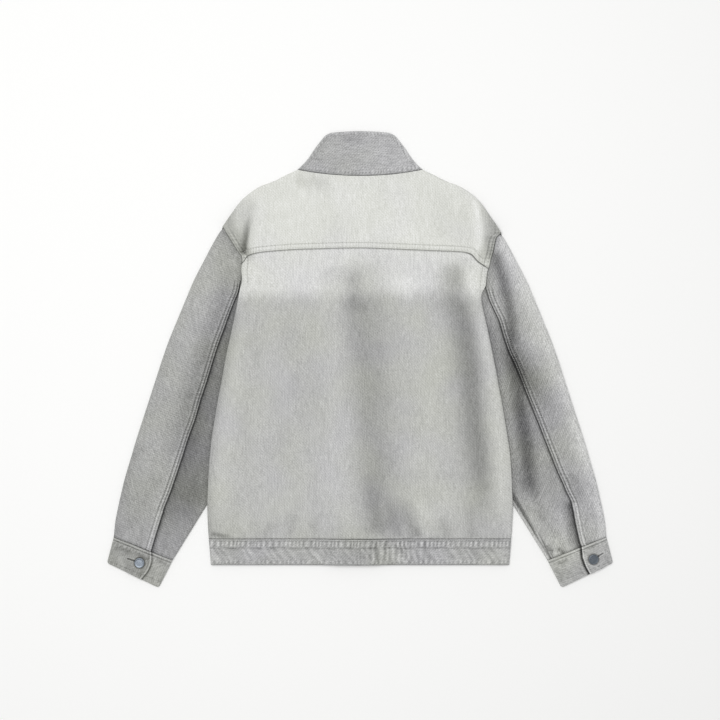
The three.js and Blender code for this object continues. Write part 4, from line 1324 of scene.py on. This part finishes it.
# Cuffs
cuff = {
    "wide": 107.5, "long": 46.2, "endWide": 97.3, "endOff": 5.6, "round": 4, "underlap": 18,
    "step": 1.0 * coarse, "rows": 47, "floorCount": 24, "bulge": {"left": 0.06, "right": 0.035},
    "stitchRows": (2.3, 6.8, 41.5), "endRow": 4.7, "tone": {"left": 0.612, "right": 0.70},
    # the shade beside the overlap's edge has a depth and a width, and ring is the button's radius
    "underlapTone": {"left": 0.035, "right": -0.01}, "gapTone": {"left": (0.24, 1.8), "right": (0.55, 2.6)},
    "ring": 8.6, "cut": {"flat": (236, 47.8), "area": 0.0112, "rests": []},
    "button": {"left": (-373.7, -344.8), "right": (395.8, -338.8)},
    "slot": {"left": ((-378, -343), (-394, -338)), "right": ((400, -336), (412, -329))},
}
cuffFolds = {  # dents in the cuffs, with painted shade in them and painted highlight on their rises
    "left": measured([
        ([(-418, -318), (-402, -323), (-387, -329)], (3.5, 3.5), -0.6, -0.10, (6, 6)),
        ([(-381, -328), (-368, -335), (-357, -341)], (2.6, 2.6), -0.6, -0.11, (5, 3)),
        ([(-347, -338), (-337, -343), (-327, -349)], (3.0, 3.0), -0.5, -0.09, (4, 5)),
        ([(-410, -330), (-404, -346), (-398, -356)], (5, 5), 0.5, 0.05, (6, 6)),
        ([(-366, -352), (-372, -362), (-378, -369)], (2.4, 2.4), -0.4, -0.07, (3, 3)),
    ]),
    "right": measured([
        ([(332, -347), (344, -344), (354, -339)], (3.0, 3.0), -0.5, -0.09, (5, 5)),
        ([(330, -352), (338, -364), (346, -378)], (4, 4), -0.5, -0.06, (5, 6)),
        ([(384, -322), (392, -319), (402, -316)], (2.2, 2.2), -0.5, -0.10, (3, 4)),
        ([(380, -327), (383, -340), (390, -352)], (2.4, 2.4), 0.4, 0.07, (4, 5)),
        ([(414, -330), (420, -342), (424, -350)], (4, 4), -0.3, -0.05, (5, 4)),
    ]),
}


def lapAt(side, v):  # where the overlap's edge lies across the cuff, v down from its seam
    return lerp(*sides[side]["lap"], v) + cuff["bulge"][side] * math.sin(math.pi * v)


def lapIn(side, x, y):  # how far in from the overlap's edge
    along, down = cuffPlace(x, y)
    v = down / cuff["long"]
    return lapAt(side, v) * lerp(cuff["wide"], cuff["endWide"], v) + cuff["endOff"] * v - along


def overlapRise(off):  # the overlap lies on the cuff's other end and comes down beyond that
    underlap = cuff["underlap"]
    return (cloth["double"] + 0.3) * (1 - smooth(off, underlap + 3, underlap + 20))


def cuffTone(side, x, y):
    return cuff["tone"][side] + 0.035 * rough(x, y, 16, 54.0)


def cuffTop(side):
    first, second, _ = cuff["stitchRows"]
    endRow, (shade, gap) = cuff["endRow"], cuff["gapTone"][side]

    def at(x, y):
        along, down = cuffPlace(x, y)
        end = cuff["long"] - down
        ripples = pucker(along + 0.2 * down, 51.0, 7.2)
        lower = pucker(along * 1.05, 52.0, 9.0)
        nearSeam = smooth(down, 6, 8) * (1 - smooth(down, 9, 15))
        nearEnd = smooth(end, 0.3, 2) * (1 - smooth(end, 5, 9))
        high = level["cuff"] + 0.5 * rough(x, y, 22, 53.0) + 0.6 * smooth(down, 4, 18) * smooth(end, 4, 18)
        high += 0.4 * ripples * nearSeam + 0.3 * lower * nearEnd
        sewn = 0.35 * bell(down - first, 0.8) + 0.3 * bell(down - second, 0.8)
        high -= sewn + 0.35 * bell(end - endRow, 0.8)
        high -= 0.9 * bell(down, 0.9) + 0.9 * (1 - smooth(end, 0, 1.8))
        lap = lapIn(side, x, y)
        tone = cuffTone(side, x, y) + cuff["underlapTone"][side] * (lap < 0)
        # the tone follows the ripples as painted light and shade
        tone += 0.06 * ripples * nearSeam + 0.035 * lower * nearEnd
        broken = 0.75 + 0.5 * rough(along, 0, 6, 57.0)
        tone -= 0.28 * broken * bell(down - 5.0, 0.8) + 0.06 * bell(end - endRow, 0.9)
        tone -= 0.34 * bell(down, 0.8)
        tone += 0.11 * bell(down - 2.4, 1.1) + 0.05 * bell(down - 7.2, 1.0) + 0.02 * bell(end, 1.3)
        tone += 0.15 * bell(lap - 1.2, 1.2) - 0.07 * bell(lap - 4.2, 1.2)
        tone -= shade * bell(min(lap + 0.8, 0), gap) * (lap < 0.2)
        dent, change = foldsAt(cuffFolds[side], x, y)
        high += dent
        tone += change
        # painted shadow in a ring round the button
        bx, by = cuff["button"][side]
        tone -= 0.24 * bell(max(math.hypot(x - bx, y - by) - cuff["ring"], 0), 1.7)
        # the buttonhole, a slit beside its button, with painted shadow in it
        run, long, off = besideLine(cuff["slot"][side], x, y)
        away = math.hypot(off + 0.7 * rough(x, y, 3, 55.0), max(-run, run - long, 0.0))
        high -= 0.7 * bell(away, 1.0) - 0.3 * bell(away - 2.4, 0.8)
        tone += (0.09 + 0.10 * pucker(run, 56.0, 2.4)) * bell(away - 2.2, 0.9) - 0.36 * bell(away, 1.1)
        return high, tone

    return at


def cuffPlan(side):  # across from the outer fold and down from the seam, with rounded corners below
    corner = {k: (sides[side]["sign"] * x, y) for k, (x, y) in cuffCorner.items()}
    a, b, c, d = (corner[k] for k in ("outerTop", "innerTop", "outerEnd", "innerEnd"))

    def plan(u, v):
        short = max(1 - min(u, 1 - u) * cuff["endWide"] / cuff["round"], 0)
        v *= 1 - cuff["round"] / cuff["long"] * (1 - math.sqrt(1 - short * short))
        return tuple(lerp(lerp(a[k], b[k], u), lerp(c[k], d[k], u), v) for k in (0, 1))

    return plan


def makeCuff(side):
    wide, underlap, step = cuff["wide"], cuff["underlap"], cuff["step"]
    outerWide = wide * sides[side]["lap"][0]
    innerWide = wide * (1 - sides[side]["lap"][0])
    plan = cuffPlan(side)
    outerPart = lambda u, v: plan(u * lapAt(side, v), v)
    innerPart = lambda u, v: plan(lerp(1, lapAt(side, v) - underlap / wide, u), v)

    def lift(u, v, x, y):
        off = (1 - u) * lapAt(side, v) * wide
        return overlapRise(off) - 0.8 * (1 - smooth(off, 0, 1.6))

    outerReach, innerReach, reach = (cloth["foldReach"] / w for w in (outerWide, innerWide + underlap, wide))
    columns = joined(
        flat(outerPart, spread(1, outerReach, round(outerWide / step)), 1, lift),
        turned(outerPart, 0, outerReach, quarter, 0),
        turned(plan, 0, reach, 0, -quarter),
        flat(plan, spread(reach, 1 - reach, round(cuff["floorCount"] / coarse)), -1),
        turned(plan, 1, -reach, -quarter, 0),
        turned(innerPart, 0, innerReach, 0, quarter),
        flat(innerPart, spread(innerReach, 1, round(innerWide / step + 8)), 1),
    )
    rows = spread(0, 1, round(cuff["rows"] / step))
    shape = between(floorLevel, cuffTop(side), None, lambda x, y: cuffTone(side, x, y))
    clothPiece(
        f"cuffBand_{side}", [(columns, rows)], shape, cuffDenim[side], "denim_trim", cloth["double"],
        [f"cuff_{side}"], cuff["cut"],
    )


for side in sides:
    makeCuff(side)

# Fronts, on the side that lies down
fronts = {
    "step": 6 * coarse, "tone": 0.735, "half": 125, "wide": 230, "down": (260, 270),
    "cut": {
        "left": {"flat": (272, 627), "area": 0.134, "rests": []},
        "right": {"flat": (292, 627), "area": 0.147, "rests": []},
    },
}


def makeFront(side):
    sign = sides[side]["sign"]
    closureX = body["closure"] - sign * body["lapHalf"]
    endX = sides[side]["shoulderX"]
    low, high = body["band"], frontTopY(endX)
    underarm = body["underarm"][1]
    half = body["underarm"][0] + 0.5

    def lowPlan(u, v):  # half of the columns reach the underarm, the others the fold at the side
        y = lerp(low, underarm, v)
        split = sign * half
        x = lerp(closureX, split, 2 * u) if u < 0.5 else lerp(split, sign * edgeHalf(side, y), 2 * u - 1)
        return (x, y)

    def highPlan(u, v):
        y = lerp(underarm, high, v)
        toTop = frontTopY(lerp(closureX, endX, u)) - high
        return (lerp(closureX, sign * (frontArmhole(side, y) + 0.5), u), y + toTop * smooth(v, 0.3, 1))

    lift = lambda u, v, x, y: closureLift(side, x, y)
    reach = cloth["foldReach"] / fronts["wide"]
    count = round(fronts["half"] / fronts["step"])
    lowRows, highRows = (spread(0, 1, round(down / fronts["step"])) for down in fronts["down"])
    grids = [
        (
            joined(
                flat(lowPlan, spread(0, 0.5, count), -1, lift),
                flat(lowPlan, spread(0.5, 1 - reach, count), -1, lift),
                turned(lowPlan, 1, -reach, -quarter, 0),
            ),
            lowRows,
        ),
        (flat(highPlan, spread(0, 1, count), -1, lift), highRows),
    ]
    shape = between(frontLow, backTop)

    def where(x, y, column, row):
        z, _ = shape(x, y, column, row)
        rise, tone = foldsAt(frontFolds, x, y)
        return z + (max(rise, 0) if column["turn"] == -1 else 0), fronts["tone"] + tone

    clothPiece(
        f"frontPanel_{side}", grids, where, bodyDenim, "denim_body", cloth["single"], [f"front_{side}"],
        fronts["cut"][side],
    )


for side in sides:
    makeFront(side)
print("cloth pieces made")

# Topstitching: beads of thread along the rows, all the rows of a garment piece in one mesh
stitch = {"pitch": 3.4, "long": 2.5, "half": 0.32, "sunk": 0.08, "placket": (2.5, 36), "band": (3, 2.2)}


def beside(points, off):  # a line moved to the left of its run
    line = []
    for i, (x, y) in enumerate(points):
        (ax, ay), (bx, by) = points[max(i - 1, 0)], points[min(i + 1, len(points) - 1)]
        long = math.hypot(bx - ax, by - ay)
        line.append((x - off * (by - ay) / long, y + off * (bx - ax) / long))
    return line


def bead(bm, a, b, half):  # one stitch between two points, in mm
    along = (b - a) / 2
    turn = along.to_track_quat("X", "Z").to_matrix().to_4x4()
    size = Matrix.Diagonal((along.length, half, half, 1))
    place = Matrix.Scale(mm, 4) @ Matrix.Translation((a + b) / 2) @ turn @ size
    bmesh.ops.create_icosphere(bm, subdivisions=1, radius=1, matrix=place)


def sewRow(bm, line, heightAt, proud=stitch["half"] - stitch["sunk"]):
    runs = [0.0]
    for (ax, ay), (bx, by) in zip(line, line[1:]):
        runs.append(runs[-1] + math.hypot(bx - ax, by - ay))
    count = max(1, round(runs[-1] / stitch["pitch"]))
    pitch = runs[-1] / count

    def at(run):
        i = next((k for k in range(1, len(runs) - 1) if runs[k] >= run), len(runs) - 1)
        t = (run - runs[i - 1]) / (runs[i] - runs[i - 1])
        x, y = lerp(line[i - 1][0], line[i][0], t), lerp(line[i - 1][1], line[i][1], t)
        return Vector((x, y, heightAt(x, y) + proud))

    for k in range(0, count, coarse):
        middle = (k + 0.5) * pitch
        bead(bm, at(middle - stitch["long"] / 2), at(middle + stitch["long"] / 2), stitch["half"])


def threadPiece(name, rows):
    bm = bmesh.new()
    for row in rows:
        sewRow(bm, *row)
    piece = newPiece(name, bm, thread, "thread")
    print(f"{name}: {len(piece.data.polygons)} faces")
    return piece


def rounded(low, high, off, reach=cloth["foldReach"]):  # height at a distance in from a fold
    short = 1 - min(max(off / reach, 0.0), 1.0)
    return (low + high) / 2 + math.sqrt(1 - short * short) * (high - low) / 2


def bodyHeight(x, y):
    return (yokeTop if y > yokeSeamY(x) else panelTop)(x, y)[0]


def bandHeight(x, y):
    return rounded(frontLow(x, y), bandTop(x, y)[0], edgeHalf(sideOf(x), y) - abs(x))


def collarHeight(x, y):
    return rounded(0.0, collarTop(x, y)[0], onCurve(collarFold, y) - abs(x), 9)


def edgeLine(table, side, start, end, inset=0.0, count=90):  # a line up a table of half widths
    sign = sides[side]["sign"]
    return [(sign * (onCurve(table, y) - inset), y) for y in spread(start, end, count)]


def bodyRows():
    seamLine = [(x, yokeSeamY(x)) for x in spread(-199, 217, 208)]
    rows = [(beside(seamLine, seam[k]), bodyHeight) for k in ("first", "second")]
    for side in sides:
        low, high = sides[side]["seamTop"] + 2, sides[side]["head"] - 6
        for k in ("first", "second"):
            rows.append((edgeLine(bodyEdge[side], side, low, high, seam[k] / 0.9, 40), bodyHeight))
    placket = lambda x, y: frontLow(x, y) + closureLift("left", x, y)
    for inset in stitch["placket"]:  # on the side that lies down
        x = body["closure"] + body["lapHalf"] - inset
        line = [(x, y) for y in spread(body["band"] + 2, body["frontNeck"] - 3, 8)]
        rows.append((line, placket, stitch["sunk"]))
    return rows


def bandRows():
    rows = []
    heights = (body["band"] - stitch["band"][0], body["hem"] + stitch["band"][1])
    for y in heights:
        left, right = edgeHalf("left", y) - 1, edgeHalf("right", y) - 1
        rows.append(([(x, y) for x in spread(-left, right, 170)], bandHeight))
    for side in sides:  # on the side that lies down
        sign = sides[side]["sign"]
        under = lambda x, y, side=side: frontLow(x, y) + closureLift(side, x, y)
        end = body["closure"] - sign * (body["lapHalf"] - 2)
        for y in heights:
            line = [(x, y) for x in spread(sign * (edgeHalf(side, y) - 8), end, 90)]
            rows.append((line, under, stitch["sunk"]))
    return rows


def collarRows():
    fold = [(onCurve(collarFold, y), y) for y in spread(327, 384, 40)]
    crown = [(x, crownY(x / collar["half"])) for x in spread(48, -48, 40)]
    outline = fold + crown + [(-x, y) for x, y in reversed(fold)]
    neck = [(x, neckY(x)) for x in spread(-103, 103, 90)]
    return [(beside(outline, 6), collarHeight), (beside(neck, 2.5), collarHeight)]


def sleeveRows(side):
    sign = sides[side]["sign"]
    seamLine = edgeLine(backSeam[side], side, sides[side]["seamEnd"] + 2, sides[side]["seamTop"] - 6, 0, 150)
    height = lambda x, y: topSleeveAt(side)(x, y)[0]
    rows = [(beside(seamLine, -sign * seam[k]), height) for k in ("first", "second")]
    vent = sides[side]["vent"]
    for off in (0, 1.4, 2.8):  # bar tack across the top of the vent
        start = sign * (onCurve(backSeam[side], vent) + 0.5)
        rows.append(([(start, vent + off), (start + sign * 8, vent + off + 1)], height))
    return rows


def cuffRows(side):
    plan = cuffPlan(side)
    high = cuffTop(side)

    def height(x, y):
        along, down = cuffPlace(x, y)
        off = lapIn(side, x, y)
        raised = overlapRise(off) if off > 0 else 0
        return rounded(0.0, high(x, y)[0], min(along, cuff["wide"] - along)) + raised

    rows = []
    for down in cuff["stitchRows"]:
        v = down / cuff["long"]
        edge = lapAt(side, v)
        rows.append(([plan(u, v) for u in spread(0.03, edge - 0.02, 24)], height))
        rows.append(([plan(u, v) for u in spread(edge + 0.02, 0.97, 24)], height))
    rows.append(([plan(lapAt(side, v) - 0.024, v) for v in spread(0.05, 0.95, 20)], height))
    return rows


threadPiece("bodyTopstitch", bodyRows())
threadPiece("bandTopstitch", bandRows())
threadPiece("collarTopstitch", collarRows())
for side in sides:
    threadPiece(f"sleeveTopstitch_{side}", sleeveRows(side))
    threadPiece(f"cuffTopstitch_{side}", cuffRows(side))

# Buttons: a pressed shell with a rolled rim and a shallow dish, on a short shank
button = {
    "profile": [  # radius, height
        (0, 2.78), (2.6, 2.76), (5.0, 2.7), (6.4, 2.66), (7.0, 2.84), (7.6, 3.0), (8.2, 2.85),
        (8.55, 2.4), (8.6, 1.95), (8.3, 1.6), (7.4, 1.45), (4.4, 1.3), (3.6, 1.0), (3.4, 0.0), (0, 0),
    ],
    "tall": 3.0, "steps": 40, "tilt": {"cuff_button_right": (math.radians(7), math.radians(11))},
    "lowest": 4,  # the front buttons lie below this, and face down
}


def makeButton(node):
    low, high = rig.box(node)
    middle = (Vector(low) + Vector(high)) / 2
    down = middle.z < button["lowest"] * mm
    bm = bmesh.new()
    tall = (high[2] - low[2]) / button["tall"]
    ring = [bm.verts.new((r * mm, 0, (z - button["tall"] / 2) * tall)) for r, z in button["profile"]]
    edges = [bm.edges.new(pair) for pair in zip(ring, ring[1:])]
    bmesh.ops.spin(
        bm, geom=ring + edges, cent=(0, 0, 0), axis=(0, 0, 1), angle=2 * math.pi,
        steps=button["steps"] // coarse, use_merge=True,
    )
    bmesh.ops.remove_doubles(bm, verts=bm.verts, dist=weld)
    bmesh.ops.recalc_face_normals(bm, faces=bm.faces)
    tiltX, tiltY = button["tilt"].get(node, (0, 0))
    turn = Matrix.Rotation(tiltX + (math.pi if down else 0), 4, "X") @ Matrix.Rotation(tiltY, 4, "Y")
    bmesh.ops.transform(bm, matrix=Matrix.Translation(middle) @ turn, verts=bm.verts)
    piece = newPiece(node + "_shell", bm, slate, "button_metal")
    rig.replaces(piece, node)


for node in [f"cuff_button_{side}" for side in sides] + [f"front_button_{i}" for i in range(1, 7)]:
    makeButton(node)
print("stitches and buttons made")

# Floor, light and camera
stage = {
    "floor": "#fcfcfb", "wide": 6, "drop": 0.3, "lamp": (-0.5, 0.5, 3.3), "lampSize": 2.0, "lampPower": 68,
    "world": 0.47,
}
shot = {"across": 1224 * mm, "middle": (0, -1 * mm), "lens": 85, "sensor": 36}


def makeStage():
    bm = bmesh.new()
    bmesh.ops.create_grid(bm, x_segments=1, y_segments=1, size=stage["wide"] / 2)
    mesh = bpy.data.meshes.new("floor")
    bm.to_mesh(mesh)
    bm.free()
    floor = bpy.data.objects.new("floor", mesh)
    floor.location.z = -stage["drop"] * mm
    bpy.context.scene.collection.objects.link(floor)
    material, tree = blank("paleFloor")
    shader = add(tree, "ShaderNodeBsdfPrincipled", Base_Color=colour(stage["floor"]), Roughness=0.9)
    add(tree, "ShaderNodeOutputMaterial", Surface=shader.outputs[0])
    mesh.materials.append(material)
    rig.stage(floor)
    lamp = bpy.data.lights.new("softLamp", "AREA")
    lamp.size = stage["lampSize"]
    lamp.energy = stage["lampPower"]
    holder = bpy.data.objects.new("softLamp", lamp)
    holder.location = stage["lamp"]
    holder.rotation_euler = (Vector((0, 0, 0)) - Vector(stage["lamp"])).to_track_quat("-Z", "Y").to_euler()
    bpy.context.scene.collection.objects.link(holder)
    world = bpy.data.worlds.new("studio")
    world.use_nodes = True
    sky = world.node_tree.nodes["Background"]
    sky.inputs["Strength"].default_value = stage["world"]
    sky.inputs["Color"].default_value = (1, 1, 1, 1)
    bpy.context.scene.world = world
    bpy.context.scene.view_settings.view_transform = "Standard"


def makeCamera():
    camera = bpy.data.cameras.new("camera")
    camera.lens = shot["lens"]
    camera.sensor_width = shot["sensor"]
    holder = bpy.data.objects.new("camera", camera)
    distance = shot["across"] * shot["lens"] / shot["sensor"]
    holder.location = (*shot["middle"], distance)
    bpy.context.scene.collection.objects.link(holder)
    bpy.context.scene.camera = holder


makeStage()
makeCamera()
with open("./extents.json", "w") as sizes:
    json.dump({"cad": [list(c) for c in cadBox], "visual": [list(c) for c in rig.bounds()]}, sizes)
